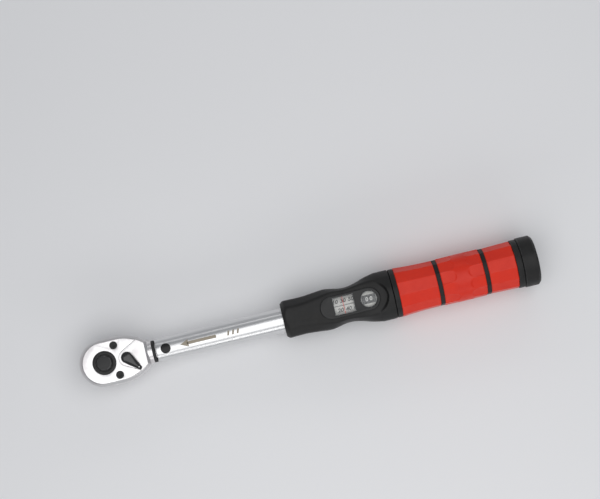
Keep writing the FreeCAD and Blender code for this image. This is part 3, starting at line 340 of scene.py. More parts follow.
SATIN_CHROME = Finish("satin_chrome_plate", (0.84, 0.84, 0.84), (0.74, 0.705, 0.71), rough=(0.28, 0.38),
                      metallic=1.0, grain_per_mm=5, bump_mm=0.004, bump=0.25,
                      worn=(0.86, 0.86, 0.85), wear=0.4, scratches=0.25, dust=0.03)
TUBE_CHROME = Finish("tube_chrome_plate", (0.82, 0.82, 0.82), (0.72, 0.72, 0.725), rough=(0.26, 0.36),
                     metallic=1.0, grain_per_mm=2.2, stretch=(0.12, 1, 1), bump_mm=0.003, bump=0.3,
                     worn=(0.86, 0.86, 0.85), wear=0.3, scratches=0.2, dust=0.03)
BLACK_OXIDE = Finish("black_oxide_steel", (0.010, 0.010, 0.011), (0.018, 0.0175, 0.017), rough=(0.28, 0.4),
                     grain_per_mm=4, bump_mm=0.004, worn=(0.2, 0.2, 0.2), wear=0.35, scratches=0.04,
                     dust=0.015, specular=0.3)
GLOSS_BLACK = Finish("gloss_black_enamel", (0.010, 0.010, 0.011), (0.016, 0.016, 0.017),
                     rough=(0.16, 0.26), grain_per_mm=3, bump_mm=0.004, bump=0.3,
                     worn=(0.3, 0.3, 0.3), wear=0.3, dust=0.01, coat=0.5, coat_rough=0.12)
BUTTON_BLACK = Finish("button_satin_black", (0.013, 0.013, 0.014), (0.022, 0.022, 0.022),
                      rough=(0.3, 0.42), grain_per_mm=4, bump_mm=0.005, worn=(0.25, 0.25, 0.25), wear=0.35,
                      dust=0.015, specular=0.35)
BRIGHT_STEEL = Finish("ground_steel", (0.6, 0.6, 0.61), (0.5, 0.5, 0.51), rough=(0.22, 0.38), metallic=1.0,
                      grain_per_mm=3, stretch=(0.2, 1, 1), bump_mm=0.004, wear=0.2)
SPRING_STEEL = Finish("oiled_spring_steel", (0.25, 0.25, 0.26), (0.16, 0.15, 0.15), rough=(0.24, 0.4),
                      metallic=1.0, grain_per_mm=3, bump_mm=0.004, wear=0.2)
RUBBER = Finish("seal_rubber_black", (0.012, 0.012, 0.012), (0.02, 0.02, 0.02), rough=(0.55, 0.75),
                grain_per_mm=3, bump_mm=0.01, wear=0.0)
BRASS = Finish("turned_brass", (0.72, 0.52, 0.22), (0.6, 0.42, 0.17), rough=(0.25, 0.4), metallic=1.0,
               grain_per_mm=3, stretch=(6, 1, 1), bump_mm=0.004)
SCALE_WHITE = Finish("scale_enamel_white", (0.80, 0.79, 0.75), (0.72, 0.71, 0.66), rough=(0.3, 0.42),
                     grain_per_mm=3, bump_mm=0.003, wear=0.0, scratches=0.02, dust=0.02)
DRUM_BLACK = Finish("drum_black", (0.012, 0.012, 0.013), (0.02, 0.02, 0.02), rough=(0.35, 0.5),
                    grain_per_mm=3, bump_mm=0.004, wear=0.1)
MOULDED_BLACK = Finish("moulded_black_plastic", (0.0095, 0.0095, 0.0098), (0.0145, 0.014, 0.0135),
                       rough=(0.42, 0.58), grain_per_mm=2.4, bump_mm=0.03, bump=0.5,
                       worn=(0.05, 0.05, 0.05), wear=0.5, scratches=0.03, dust=0.03, specular=0.28)
BEZEL_BLACK = Finish("bezel_black_plastic", (0.008, 0.008, 0.0083), (0.012, 0.012, 0.012),
                     rough=(0.26, 0.36), grain_per_mm=3, bump_mm=0.006, bump=0.4,
                     worn=(0.05, 0.05, 0.05), wear=0.4, dust=0.02, specular=0.35)
RED_GRIP = Finish("red_grip_plastic", (0.74, 0.026, 0.005), (0.66, 0.019, 0.004), rough=(0.34, 0.46),
                  grain_per_mm=1.8, bump_mm=0.012, bump=0.35, worn=(0.75, 0.10, 0.05), wear=0.35,
                  scratches=0.03, dust=0.015, specular=0.35)
RED_LINE = Finish("red_hairline", (0.75, 0.04, 0.03), (0.65, 0.03, 0.02), rough=(0.3, 0.4), wear=0.0,
                  bump_mm=0.002)
INK_BLACK = Finish("printed_black_ink", (0.012, 0.012, 0.012), (0.03, 0.03, 0.028), rough=(0.4, 0.5),
                   bump_mm=0.002, wear=0.0, dust=0.02)
INK_WHITE = Finish("printed_white_ink", (0.82, 0.82, 0.8), (0.75, 0.75, 0.72), rough=(0.4, 0.5),
                   bump_mm=0.002, wear=0.0, dust=0.02)
INK_TAN = Finish("printed_tan_ink", (0.36, 0.31, 0.24), (0.30, 0.26, 0.20), rough=(0.4, 0.55),
                 bump_mm=0.002, wear=0.0, dust=0.02)
CLEAR_LENS = ClearFinish("clear_lens_plastic")


# ---------------------------------------------------------------- mesh making

def make_object(name: str, mesh: bpy.types.Mesh, finish: Finish | ClearFinish) -> bpy.types.Object:
    """Put a mesh in the scene as an object at the origin, in one finish."""
    piece = bpy.data.objects.new(name, mesh)
    bpy.context.scene.collection.objects.link(piece)
    mesh.materials.clear()
    mesh.materials.append(finish.build())
    return piece


def mesh_from(name: str, points: Sequence, faces: Sequence, crease_deg: float = 35.0) -> bpy.types.Mesh:
    """Make a closed mesh from millimetre points, with its normals turned outwards.

    Args:
        name: the mesh's name.
        points: corner positions in millimetres.
        faces: corner numbers of each face.
        crease_deg: edges sharper than this are shaded sharp.

    Returns:
        The mesh in metres.
    """
    mesh = bpy.data.meshes.new(name)
    mesh.from_pydata([tuple(c * MM for c in point) for point in points], [], [list(f) for f in faces])
    shell = bmesh.new()
    shell.from_mesh(mesh)
    bmesh.ops.remove_doubles(shell, verts=shell.verts, dist=1e-7)
    bmesh.ops.recalc_face_normals(shell, faces=shell.faces)
    shell.to_mesh(mesh)
    shell.free()
    mesh.shade_smooth()
    mesh.set_sharp_from_angle(angle=math.radians(crease_deg))
    return mesh


def rounded(profile: Sequence[tuple], steps: int = 4) -> list[Point]:
    """Round the corners of an open outline.

    Args:
        profile: (across, up) or (across, up, radius) of each corner.
        steps: segments in each rounded corner.

    Returns:
        The outline's points.
    """
    result: list[Point] = []
    for number, corner in enumerate(profile):
        here = Vector(corner[:2])
        radius = corner[2] if len(corner) > 2 else 0.0
        if not radius or number in (0, len(profile) - 1):
            result.append(tuple(here))
            continue
        back = Vector(profile[number - 1][:2]) - here
        ahead = Vector(profile[number + 1][:2]) - here
        half = back.angle(ahead) / 2
        reach = min(radius / math.tan(half), back.length * 0.49, ahead.length * 0.49)
        start, end = here + back.normalized() * reach, here + ahead.normalized() * reach
        for step in range(steps + 1):
            share = step / steps
            first = start.lerp(here, share)
            result.append(tuple(first.lerp(here.lerp(end, share), share)))
    return result


def turned(name: str, profile: Sequence[tuple], along: Along, centre: tuple[float, float],
           finish: Finish | ClearFinish, segments: int = 96) -> bpy.types.Object:
    """Turn a closed or axis-to-axis profile round an axis.

    Args:
        name: the piece's name.
        profile: (place along the axis, radius[, rounding]) of each corner, in millimetres.
        along: the axis.
        centre: the axis's place: (y, z) along X, (x, y) along Z.
        finish: the piece's finish.
        segments: columns round the axis.

    Returns:
        The piece.
    """
    outline = rounded(profile)
    rings = []
    for place, radius in outline:
        ring = []
        for step in range(segments):
            turn = 2 * math.pi * step / segments
            a, b = radius * math.cos(turn), radius * math.sin(turn)
            ring.append((place, centre[0] + a, centre[1] + b) if along is Along.X
                        else (centre[0] + a, centre[1] + b, place))
        rings.append(ring)
    closed = outline[0][1] > 0
    return make_object(name, skin(name, rings, loop=closed), finish)


def skin(name: str, rings: Sequence[Ring], loop: bool = False, crease_deg: float = 35.0) -> bpy.types.Mesh:
    """Join rings of points into a closed shell.

    Args:
        name: the mesh's name.
        rings: rings with equal numbers of points.
        loop: join the last ring to the first instead of closing both ends.
        crease_deg: edges sharper than this are shaded sharp.

    Returns:
        The mesh.
    """
    count = len(rings[0])
    points = [point for ring in rings for point in ring]
    faces: list[tuple[int, ...]] = []
    spans = range(len(rings) if loop else len(rings) - 1)
    for level in spans:
        above = (level + 1) % len(rings)
        for step in range(count):
            ahead = (step + 1) % count
            faces.append((level * count + step, level * count + ahead, above * count + ahead,
                          above * count + step))
    if not loop:
        faces.append(tuple(range(count)))
        faces.append(tuple(range((len(rings) - 1) * count, len(rings) * count)))
    return mesh_from(name, points, faces, crease_deg)


def baked(piece: bpy.types.Object) -> bpy.types.Object:
    """Apply a piece's modifiers by making its evaluated mesh its own."""
    bpy.context.view_layer.update()
    graph = bpy.context.evaluated_depsgraph_get()
    mesh = bpy.data.meshes.new_from_object(piece.evaluated_get(graph), preserve_all_data_layers=True,
                                           depsgraph=graph)
    mesh.name = piece.name
    piece.modifiers.clear()
    piece.data = mesh
    return piece


def softened(node: str, name: str, finish: Finish, width_mm: float, segments: int = 3,
             angle_deg: float = 28.0) -> bpy.types.Object:
    """A copy of a CAD node with its sharp edges rounded and marked for wear.

    Args:
        node: the CAD node.
        name: the new piece's name.
        finish: its finish.
        width_mm: width of the rounding.
        segments: segments across the rounding.
        angle_deg: edges sharper than this are rounded.

    Returns:
        The new piece, which still has to ride and to replace the node.
    """
    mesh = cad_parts[node].data.copy()
    mesh.name = name
    shell = bmesh.new()
    shell.from_mesh(mesh)
    bmesh.ops.remove_doubles(shell, verts=shell.verts, dist=2e-6)
    bmesh.ops.dissolve_limit(shell, angle_limit=math.radians(0.6), verts=shell.verts, edges=shell.edges)
    for face in shell.faces:
        face.material_index = 0
    shell.to_mesh(mesh)
    shell.free()
    mesh.normals_split_custom_set([(0, 0, 0)] * len(mesh.loops))
    mesh.shade_smooth()
    mesh.set_sharp_from_angle(angle=math.radians(angle_deg))
    piece = make_object(name, mesh, finish)
    mesh.materials.append(finish.build())
    bevel = piece.modifiers.new("rounding", "BEVEL")
    bevel.width, bevel.segments = width_mm * MM, segments
    bevel.limit_method, bevel.angle_limit = "ANGLE", math.radians(angle_deg)
    bevel.use_clamp_overlap, bevel.harden_normals = True, False
    bevel.miter_outer = "MITER_ARC"
    bevel.material = 1
    baked(piece)
    mark_edges(piece.data)
    piece.data.shade_smooth()
    piece.data.set_sharp_from_angle(angle=math.radians(40))
    return piece


def mark_edges(mesh: bpy.types.Mesh) -> None:
    """Write the faces of material slot 1 to the edge attribute and return them to slot 0."""
    marks = np.zeros(len(mesh.polygons), dtype=np.float32)
    for number, face in enumerate(mesh.polygons):
        if face.material_index == 1:
            marks[number] = 1.0
            face.material_index = 0
    layer = mesh.attributes.new("edge", "FLOAT", "FACE")
    layer.data.foreach_set("value", marks)
    mesh.materials.pop(index=1)


def dress(node: str, finish: Finish | ClearFinish) -> None:
    """Give a CAD node that stays a finish."""
    mesh_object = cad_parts[node]
    for place in range(len(mesh_object.material_slots)):
        mesh_object.material_slots[place].material = finish.build()
    log.info("dressed %s in %s", node, finish.name)


def fit(piece: bpy.types.Object, body: str, slot: str, *nodes: str) -> bpy.types.Object:
    """Let a finished piece ride on a body and stand for CAD nodes."""
    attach(piece, body)
    if nodes:
        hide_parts(*nodes)
    log.info("made %s for %s: %d faces", piece.name, ", ".join(nodes) or body, len(piece.data.polygons))
    return piece


def lettering(text: str, height_mm: float, slant: float, depth_mm: float) -> bpy.types.Mesh:
    """Centred lettering in the plane, as a thin solid mesh.

    Args:
        text: what it says.
        height_mm: size of the type.
        slant: shear of the type.
        depth_mm: thickness of the print.

    Returns:
        The mesh, in metres, centred on the origin.
    """
    curve = bpy.data.curves.new("type", "FONT")
    curve.body, curve.size, curve.shear = text, height_mm * MM, slant
    curve.align_x, curve.align_y = "CENTER", "CENTER"
    curve.extrude, curve.resolution_u, curve.offset = depth_mm * MM / 2, 3, 0.03 * height_mm * MM
    holder = bpy.data.objects.new("type", curve)
    bpy.context.scene.collection.objects.link(holder)
    bpy.context.view_layer.update()
    mesh = bpy.data.meshes.new_from_object(holder.evaluated_get(bpy.context.evaluated_depsgraph_get()))
    bpy.data.objects.remove(holder)
    return mesh


def wrapped(name: str, parts: Iterable[tuple[bpy.types.Mesh, float, float]], radius_mm: float,
            finish: Finish, cone: tuple[float, float] = (0.0, 0.0)) -> bpy.types.Object:
    """Wrap flat print round the wrench's axis.

    Args:
        name: the piece's name.
        parts: (flat mesh, place along x, arc length from the top towards +Y) of each part, in mm.
        radius_mm: radius of the surface that is printed on.
        finish: the ink.
        cone: where the surface starts to widen along x, and by how much in each millimetre.

    Returns:
        The piece.
    """
    shell = bmesh.new()
    for mesh, along, around in parts:
        mesh.transform(Matrix.Translation((along * MM, around * MM, 0)))
        shell.from_mesh(mesh)
    spread = [v.co.y for v in shell.verts]
    cut = math.floor(min(spread) / MM * 2) / 2
    while cut < max(spread) / MM:
        bmesh.ops.bisect_plane(shell, geom=shell.verts[:] + shell.edges[:] + shell.faces[:],
                               plane_co=(0, cut * MM, 0), plane_no=(0, 1, 0), dist=1e-8)
        cut += 0.5
    for vertex in shell.verts:
        turn = vertex.co.y / (radius_mm * MM)
        reach = radius_mm * MM + vertex.co.z + (vertex.co.x - cone[0] * MM) * cone[1]
        vertex.co = Vector((vertex.co.x, reach * math.sin(turn), AXIS_Z * MM + reach * math.cos(turn)))
    bmesh.ops.remove_doubles(shell, verts=shell.verts, dist=1e-7)
    bmesh.ops.recalc_face_normals(shell, faces=shell.faces)
    mesh = bpy.data.meshes.new(name)
    shell.to_mesh(mesh)
    shell.free()
    return make_object(name, mesh, finish)


# ---------------------------------------------------------------- geometry node trees

class Repeater:
    """A geometry node tree with named inputs, run once for each plain mesh it makes."""

    def __init__(self, name: str, inputs: Sequence[tuple[str, str, object]],
                 fill: Callable[[Graph, bpy.types.NodeOutputs], bpy.types.NodeSocket]) -> None:
        """Build the tree.

        Args:
            name: the tree's name.
            inputs: (name, socket type, default) of each input beside Material.
            fill: adds the nodes and returns the geometry socket.
        """
        graph = new_group(name, "GeometryNodeTree",
                          [*inputs, ("Material", "NodeSocketMaterial", None)],
                          [("Geometry", "NodeSocketGeometry")])
        given = graph.add("NodeGroupInput").outputs
        real = graph.add("GeometryNodeRealizeInstances", {0: fill(graph, given)}).outputs[0]
        shaded = graph.add("GeometryNodeSetMaterial", {"Geometry": real, "Material": given["Material"]})
        graph.add("NodeGroupOutput", {0: shaded.outputs[0]})
        self.tree = graph.tree

    def run(self, name: str, finish: Finish, **values: object) -> bpy.types.Object:
        """Make a plain mesh piece from the tree.

        Args:
            name: the piece's name.
            finish: its finish.
            values: input name, with _ for a space, to its value.

        Returns:
            The piece, with no modifier on it.
        """
        piece = make_object(name, bpy.data.meshes.new(name), finish)
        modifier = piece.modifiers.new("repeater", "NODES")
        modifier.node_group = self.tree
        sockets = {item.name.lower(): item.identifier for item in self.tree.interface.items_tree
                   if item.item_type == "SOCKET" and item.in_out == "INPUT"}
        modifier[sockets["material"]] = finish.build()
        for title, value in values.items():
            modifier[sockets[title.replace("_", " ")]] = value
        return baked(piece)


def wrap_nodes(graph: Graph, geometry: object, radius: object, height: object) -> bpy.types.NodeSocket:
    """Wrap geometry that lies along y round an axis along x, and return the result socket."""
    spot = graph.add("ShaderNodeSeparateXYZ",
                     {0: graph.add("GeometryNodeInputPosition").outputs[0]}).outputs
    turn = graph.math("DIVIDE", spot[1], radius)
    reach = graph.math("ADD", radius, spot[2])
    moved = graph.add("ShaderNodeCombineXYZ", {
        0: spot[0], 1: graph.math("MULTIPLY", reach, graph.math("SINE", turn)),
        2: graph.math("ADD", height, graph.math("MULTIPLY", reach, graph.math("COSINE", turn)))})
    wrapped_up = graph.add("GeometryNodeSetPosition", {"Geometry": geometry, "Position": moved.outputs[0]})
    return wrapped_up.outputs[0]


def fill_tick_row(graph: Graph, given: bpy.types.NodeOutputs) -> bpy.types.NodeSocket:
    """A row of ticks along x, each nth one longer, wrapped round the axis."""
    start = graph.add("ShaderNodeCombineXYZ", {0: given["Start"], 1: given["Across"]}).outputs[0]
    step = graph.add("ShaderNodeCombineXYZ", {0: given["Pitch"]}).outputs[0]
    line = graph.add("GeometryNodeMeshLine", {"Count": given["Count"], "Start Location": start,
                                              "Offset": step}).outputs[0]
    size = graph.add("ShaderNodeCombineXYZ", {0: given["Width"], 1: given["Length"],
                                              2: given["Depth"]}).outputs[0]
    tick = graph.add("GeometryNodeMeshCube", {"Size": size, "Vertices Y": 8}).outputs[0]
    number = graph.add("GeometryNodeInputIndex").outputs[0]
    rest = graph.math("MODULO", number, given["Long every"])
    longer = graph.math("ADD", 1.0, graph.math("MULTIPLY", graph.math("LESS_THAN", rest, 0.5),
                                               graph.math("SUBTRACT", given["Long scale"], 1.0)))
    scale = graph.add("ShaderNodeCombineXYZ", {0: 1.0, 1: longer, 2: 1.0}).outputs[0]
    row = graph.add("GeometryNodeInstanceOnPoints", {"Points": line, "Instance": tick,
                                                     "Scale": scale}).outputs[0]
    real = graph.add("GeometryNodeRealizeInstances", {0: row}).outputs[0]
    return wrap_nodes(graph, real, given["Radius"], given["Axis height"])


def fill_dial(graph: Graph, given: bpy.types.NodeOutputs) -> bpy.types.NodeSocket:
    """Marks spread round the axis, all facing outwards."""
    centre = graph.add("ShaderNodeCombineXYZ", {2: given["Axis height"]}).outputs[0]
    points = graph.add("GeometryNodeMeshLine", {"Count": given["Count"], "Start Location": centre,
                                                "Offset": (0.0, 0.0, 0.0)}).outputs[0]
    size = graph.add("ShaderNodeCombineXYZ", {0: given["Length"], 1: given["Width"],
                                              2: given["Depth"]}).outputs[0]
    mark = graph.add("GeometryNodeMeshCube", {"Size": size, "Vertices Y": given["Columns"]}).outputs[0]
    start = graph.add("ShaderNodeCombineXYZ", {0: given["Start"]}).outputs[0]
    placed = graph.add("GeometryNodeTransform", {"Geometry": mark, "Translation": start}).outputs[0]
    bent = wrap_nodes(graph, placed, given["Radius"], 0.0)
    share = graph.math("DIVIDE", graph.add("GeometryNodeInputIndex").outputs[0], given["Count"])
    turn = graph.math("ADD", given["First turn"], graph.math("MULTIPLY", share, 2 * math.pi))
    angle = graph.add("ShaderNodeCombineXYZ", {0: turn}).outputs[0]
    return graph.add("GeometryNodeInstanceOnPoints", {"Points": points, "Instance": bent,
                                                      "Rotation": angle}).outputs[0]


def fill_ribs(graph: Graph, given: bpy.types.NodeOutputs) -> bpy.types.NodeSocket:
    """Upright ribs along a straight run."""
    line = graph.add("GeometryNodeMeshLine", {"Count": given["Count"], "Start Location": given["From"],
                                              "Offset": given["Step"]}).outputs[0]
    rib = graph.add("GeometryNodeMeshCylinder", {"Vertices": 14, "Radius": given["Radius"],
                                                 "Depth": given["Height"]}).outputs[0]
    return graph.add("GeometryNodeInstanceOnPoints", {"Points": line, "Instance": rib}).outputs[0]


def fill_coil(graph: Graph, given: bpy.types.NodeOutputs) -> bpy.types.NodeSocket:
    """Round wire along a helix that is turned and moved to its seat."""
    path = graph.add("GeometryNodeCurveSpiral", {
        "Resolution": 28, "Rotations": given["Turns"], "Start Radius": given["Radius"],
        "End Radius": given["Radius"], "Height": given["Length"]}).outputs[0]
    wire = graph.add("GeometryNodeCurvePrimitiveCircle", {"Resolution": 12, "Radius": given["Wire"]})
    coil = graph.add("GeometryNodeCurveToMesh", {"Curve": path, "Profile Curve": wire.outputs[0],
                                                 "Fill Caps": True}).outputs[0]
    return graph.add("GeometryNodeTransform", {"Geometry": coil, "Translation": given["Seat"],
                                               "Rotation": given["Turned"]}).outputs[0]


FLOAT, INT, VECTOR = "NodeSocketFloat", "NodeSocketInt", "NodeSocketVector"
TICK_ROW = Repeater("tick_row", [
    ("Count", INT, 21), ("Start", FLOAT, 0.0), ("Across", FLOAT, 0.0), ("Pitch", FLOAT, 0.001),
    ("Width", FLOAT, 0.0002), ("Length", FLOAT, 0.001), ("Depth", FLOAT, 0.00004),
    ("Long every", FLOAT, 5.0), ("Long scale", FLOAT, 1.6), ("Radius", FLOAT, 0.01),
    ("Axis height", FLOAT, 0.0)], fill_tick_row)
DIAL = Repeater("dial_marks", [
    ("Count", INT, 10), ("Start", FLOAT, 0.0), ("First turn", FLOAT, 0.0), ("Length", FLOAT, 0.001),
    ("Width", FLOAT, 0.001), ("Depth", FLOAT, 0.00004), ("Columns", INT, 4), ("Radius", FLOAT, 0.01),
    ("Axis height", FLOAT, 0.0)], fill_dial)
COIL = Repeater("coil_spring", [
    ("Turns", FLOAT, 6.0), ("Radius", FLOAT, 0.004), ("Length", FLOAT, 0.01), ("Wire", FLOAT, 0.0004),
    ("Seat", VECTOR, None), ("Turned", VECTOR, None)], fill_coil)
RIBS = Repeater("rib_row", [
    ("Count", INT, 8), ("From", VECTOR, None), ("Step", VECTOR, None), ("Radius", FLOAT, 0.0003),
    ("Height", FLOAT, 0.002)], fill_ribs)


# ---------------------------------------------------------------- head

@dataclass
class RatchetHead:
    """Forged head with its plate, screws, neck ring and drive."""

    forging_round: float = 0.55
    plate_round: float = 0.22
    disc_round: float = 0.3

    def build_body(self) -> None:
        """Make the forging, its plate and the screws."""
        fit(softened("head_body", "head_forging", SATIN_CHROME, self.forging_round, 4), "head",
            "satin_chrome", "head_body")
        fit(softened("cover_plate", "ratchet_plate", SATIN_CHROME, self.plate_round), "head",
            "satin_chrome", "cover_plate")
        fit(softened("cover_screws", "plate_screws", BLACK_OXIDE, 0.18), "head", "black_steel",
            "cover_screws")
        start, end = low("neck_ring").x, high("neck_ring").x
        radius = high("neck_ring").y
        inner = radius - 2.0
        profile = [(start, inner), (start, radius - 0.1, 0.4), (end, radius - 0.1, 0.4), (end, inner)]
        fit(turned("neck_seal", profile, Along.X, (0, AXIS_Z), RUBBER), "head", "seal_rubber", "neck_ring")

    def build_drive(self) -> None:
        """Make the gear with its disc, and the dished release button."""
        fit(softened("drive_gear", "gear_and_square", BLACK_OXIDE, self.disc_round), "drive",
            "black_steel", "drive_gear")
        fit(softened("release_button", "quick_release_button", BUTTON_BLACK, 0.35), "release",
            "button_black", "release_button")


@dataclass
class ReversingLever:
    """Teardrop lever with a ridge, ribbed flanks and a light dot at its tip."""

    swing_deg: float = 100.0
    reach: float = 13.7
    round_radius: float = 4.25
    tip_radius: float = 1.5
    ridge_inset: float = 1.0
    ridge_rise: float = 0.45
    rib_start: float = 3.2
    rib_step: float = 1.15
    ribs: int = 7
    rib_radius: float = 0.34
    dot_radius: float = 0.45

    def place(self) -> Matrix:
        """Turn and move from the lever's own plane to its setting on the head."""
        pin = low("shaft_clip").x + (high("shaft_clip").x - low("shaft_clip").x) / 2
        return (Matrix.Translation((pin * MM, 0, 0))
                @ Matrix.Rotation(math.radians(-self.swing_deg / 2), 4, "Z"))

    def outline(self, inset: float, steps: int = 20) -> list[Point]:
        """Teardrop outline drawn in by an inset, as points round it."""
        lean = math.pi / 2 - self.lean()
        points = []
        for step in range(steps * 2 + 1):
            turn = lean + (2 * math.pi - 2 * lean) * step / (steps * 2)
            radius = self.round_radius - inset
            points.append((radius * math.cos(turn), radius * math.sin(turn)))
        for step in range(steps + 1):
            turn = -lean + 2 * lean * step / steps
            radius = max(self.tip_radius - inset, 0.05)
            points.append((self.reach - self.tip_radius + radius * math.cos(turn), radius * math.sin(turn)))
        return points

    def build(self) -> None:
        """Make the lever with its shaft, ribs and dot."""
        bottom = high("cover_plate").z + 0.35
        top = high("selector_lever").z
        shaft_bottom = low("selector_lever").z
        rings: list[Ring] = []
        levels = ((0.25, bottom), (0.0, bottom + 0.2), (0.0, top - 1.5), (0.12, top - 1.15),
                  (0.45, top - 0.75), (self.ridge_inset, top - self.ridge_rise))
        for inset, level in levels:
            rings.append([(x, y, level) for x, y in self.outline(inset)])
        for share in (0.35, 0.7, 0.92):
            level = top - self.ridge_rise * (1 - share) ** 2
            ring = []
            for x, y in self.outline(self.ridge_inset):
                spine = min(max(x, 0.0), self.reach - self.tip_radius)
                ring.append((x + (spine - x) * share, y * (1 - share), level))
            rings.append(ring)
        mesh = skin("lever_blade", rings, crease_deg=32)
        mesh.transform(self.place())
        blade = make_object("reversing_lever", mesh, GLOSS_BLACK)
        shaft = turned("lever_shaft", [(shaft_bottom, 0), (shaft_bottom, 2.2, 0.3), (bottom + 0.4, 2.2),
                                       (bottom + 0.4, 0)], Along.Z, (0, 0), GLOSS_BLACK, 48)
        shaft.data.transform(self.place())
        lean = self.lean()
        rows = []
        for side in (-1, 1):
            first = Vector((self.rib_start, side * self.flank(self.rib_start), (bottom + top - 1.1) / 2))
            step = Vector((self.rib_step, -side * self.rib_step * math.tan(lean), 0.0))
            row = RIBS.run(f"lever_ribs_{side}", GLOSS_BLACK, count=self.ribs, **{"from": first * MM},
                           step=step * MM, radius=self.rib_radius * MM,
                           height=(top - 1.5 - bottom) * MM)
            row.data.transform(self.place())
            rows.append(row)
        # A small white dot, domed a little, stands on the lever's top near its tip, in the white ink finish
        # that the drum numbers also use.
        dot = turned("lever_dot", [(top - 0.6, 0), (top - 0.6, self.dot_radius),
                                   (top + 0.03, self.dot_radius, 0.1), (top + 0.03, 0)],
                     Along.Z, (self.reach - 2.2, 0), INK_WHITE, 24)
        dot.data.transform(self.place())
        fit(blade, "selector", "black_steel", "selector_lever")
        for part in (shaft, *rows):
            fit(part, "selector", "black_steel")
        fit(dot, "selector", "scale_metal")

    def flank(self, x: float) -> float:
        """Half width of the teardrop's straight flank at x."""
        return self.round_radius / math.cos(self.lean()) - x * math.tan(self.lean()) - 0.1

    def lean(self) -> float:
        """Angle of the straight flanks to the lever's middle line."""
        return math.asin((self.round_radius - self.tip_radius) / (self.reach - self.tip_radius))


# ---------------------------------------------------------------- tube

@dataclass
class Tube:
    """Chrome tube, the flush pivot pin and a plain direction mark."""

    front_radius: float = 8.55
    rear_radius: float = 9.2
    mark_start: float = 57.0
    mark_length: float = 27.0
    mark_half: float = 1.1
    head_length: float = 6.0
    head_half: float = 2.8
    bars: int = 3
    bar_gap: float = 8.0
    bar_pitch: float = 3.6

    def build(self) -> None:
        """Make the tube and the pin."""
        fit(softened("tube", "chrome_tube", TUBE_CHROME, 0.3), "tube", "satin_chrome", "tube")
        fit(softened("pivot_pin", "head_pivot_pin", BLACK_OXIDE, 0.25), "tube", "black_steel",
            "pivot_pin")

    def build_mark(self) -> None:
        """Print a plain arrow and three bars along the tube's top."""
        front, rear = low("tube").x, low("window_housing").x
        widening = (self.rear_radius - self.front_radius) / (rear - front)
        start, end, half = self.mark_start, self.mark_start + self.mark_length, self.mark_half
        barb, wing = start + self.head_length, self.head_half
        shapes = [
            [(barb - 1, -half), (end, -half), (end, half), (barb - 1, half)],
            [(start, 0), (barb, -wing), (barb, wing)],
        ]
        for bar in range(self.bars):
            place = end + self.bar_gap + self.bar_pitch * bar
            shapes.append([(place, -1.6), (place + 1.4, -1.6), (place + 2.4, 1.6), (place + 1.0, 1.6)])
        parts = [(flat_print(shape, 0.03), 0.0, 0.0) for shape in shapes]
        fit(wrapped("direction_mark", parts, self.front_radius + 0.012, INK_TAN, (front, widening)),
            "tube", "satin_chrome")


def flat_print(corners: Sequence[Point], depth_mm: float) -> bpy.types.Mesh:
    """A thin flat solid with the given outline, in metres."""
    shell = bmesh.new()
    face = shell.faces.new([shell.verts.new((x * MM, y * MM, -depth_mm * MM / 2)) for x, y in corners])
    raised = bmesh.ops.extrude_face_region(shell, geom=[face])
    bmesh.ops.translate(shell, verts=[v for v in raised["geom"] if isinstance(v, bmesh.types.BMVert)],
                        vec=(0, 0, depth_mm * MM))
    bmesh.ops.recalc_face_normals(shell, faces=shell.faces)
    mesh = bpy.data.meshes.new("print")
    shell.to_mesh(mesh)
    shell.free()
    return mesh


# ---------------------------------------------------------------- window housing

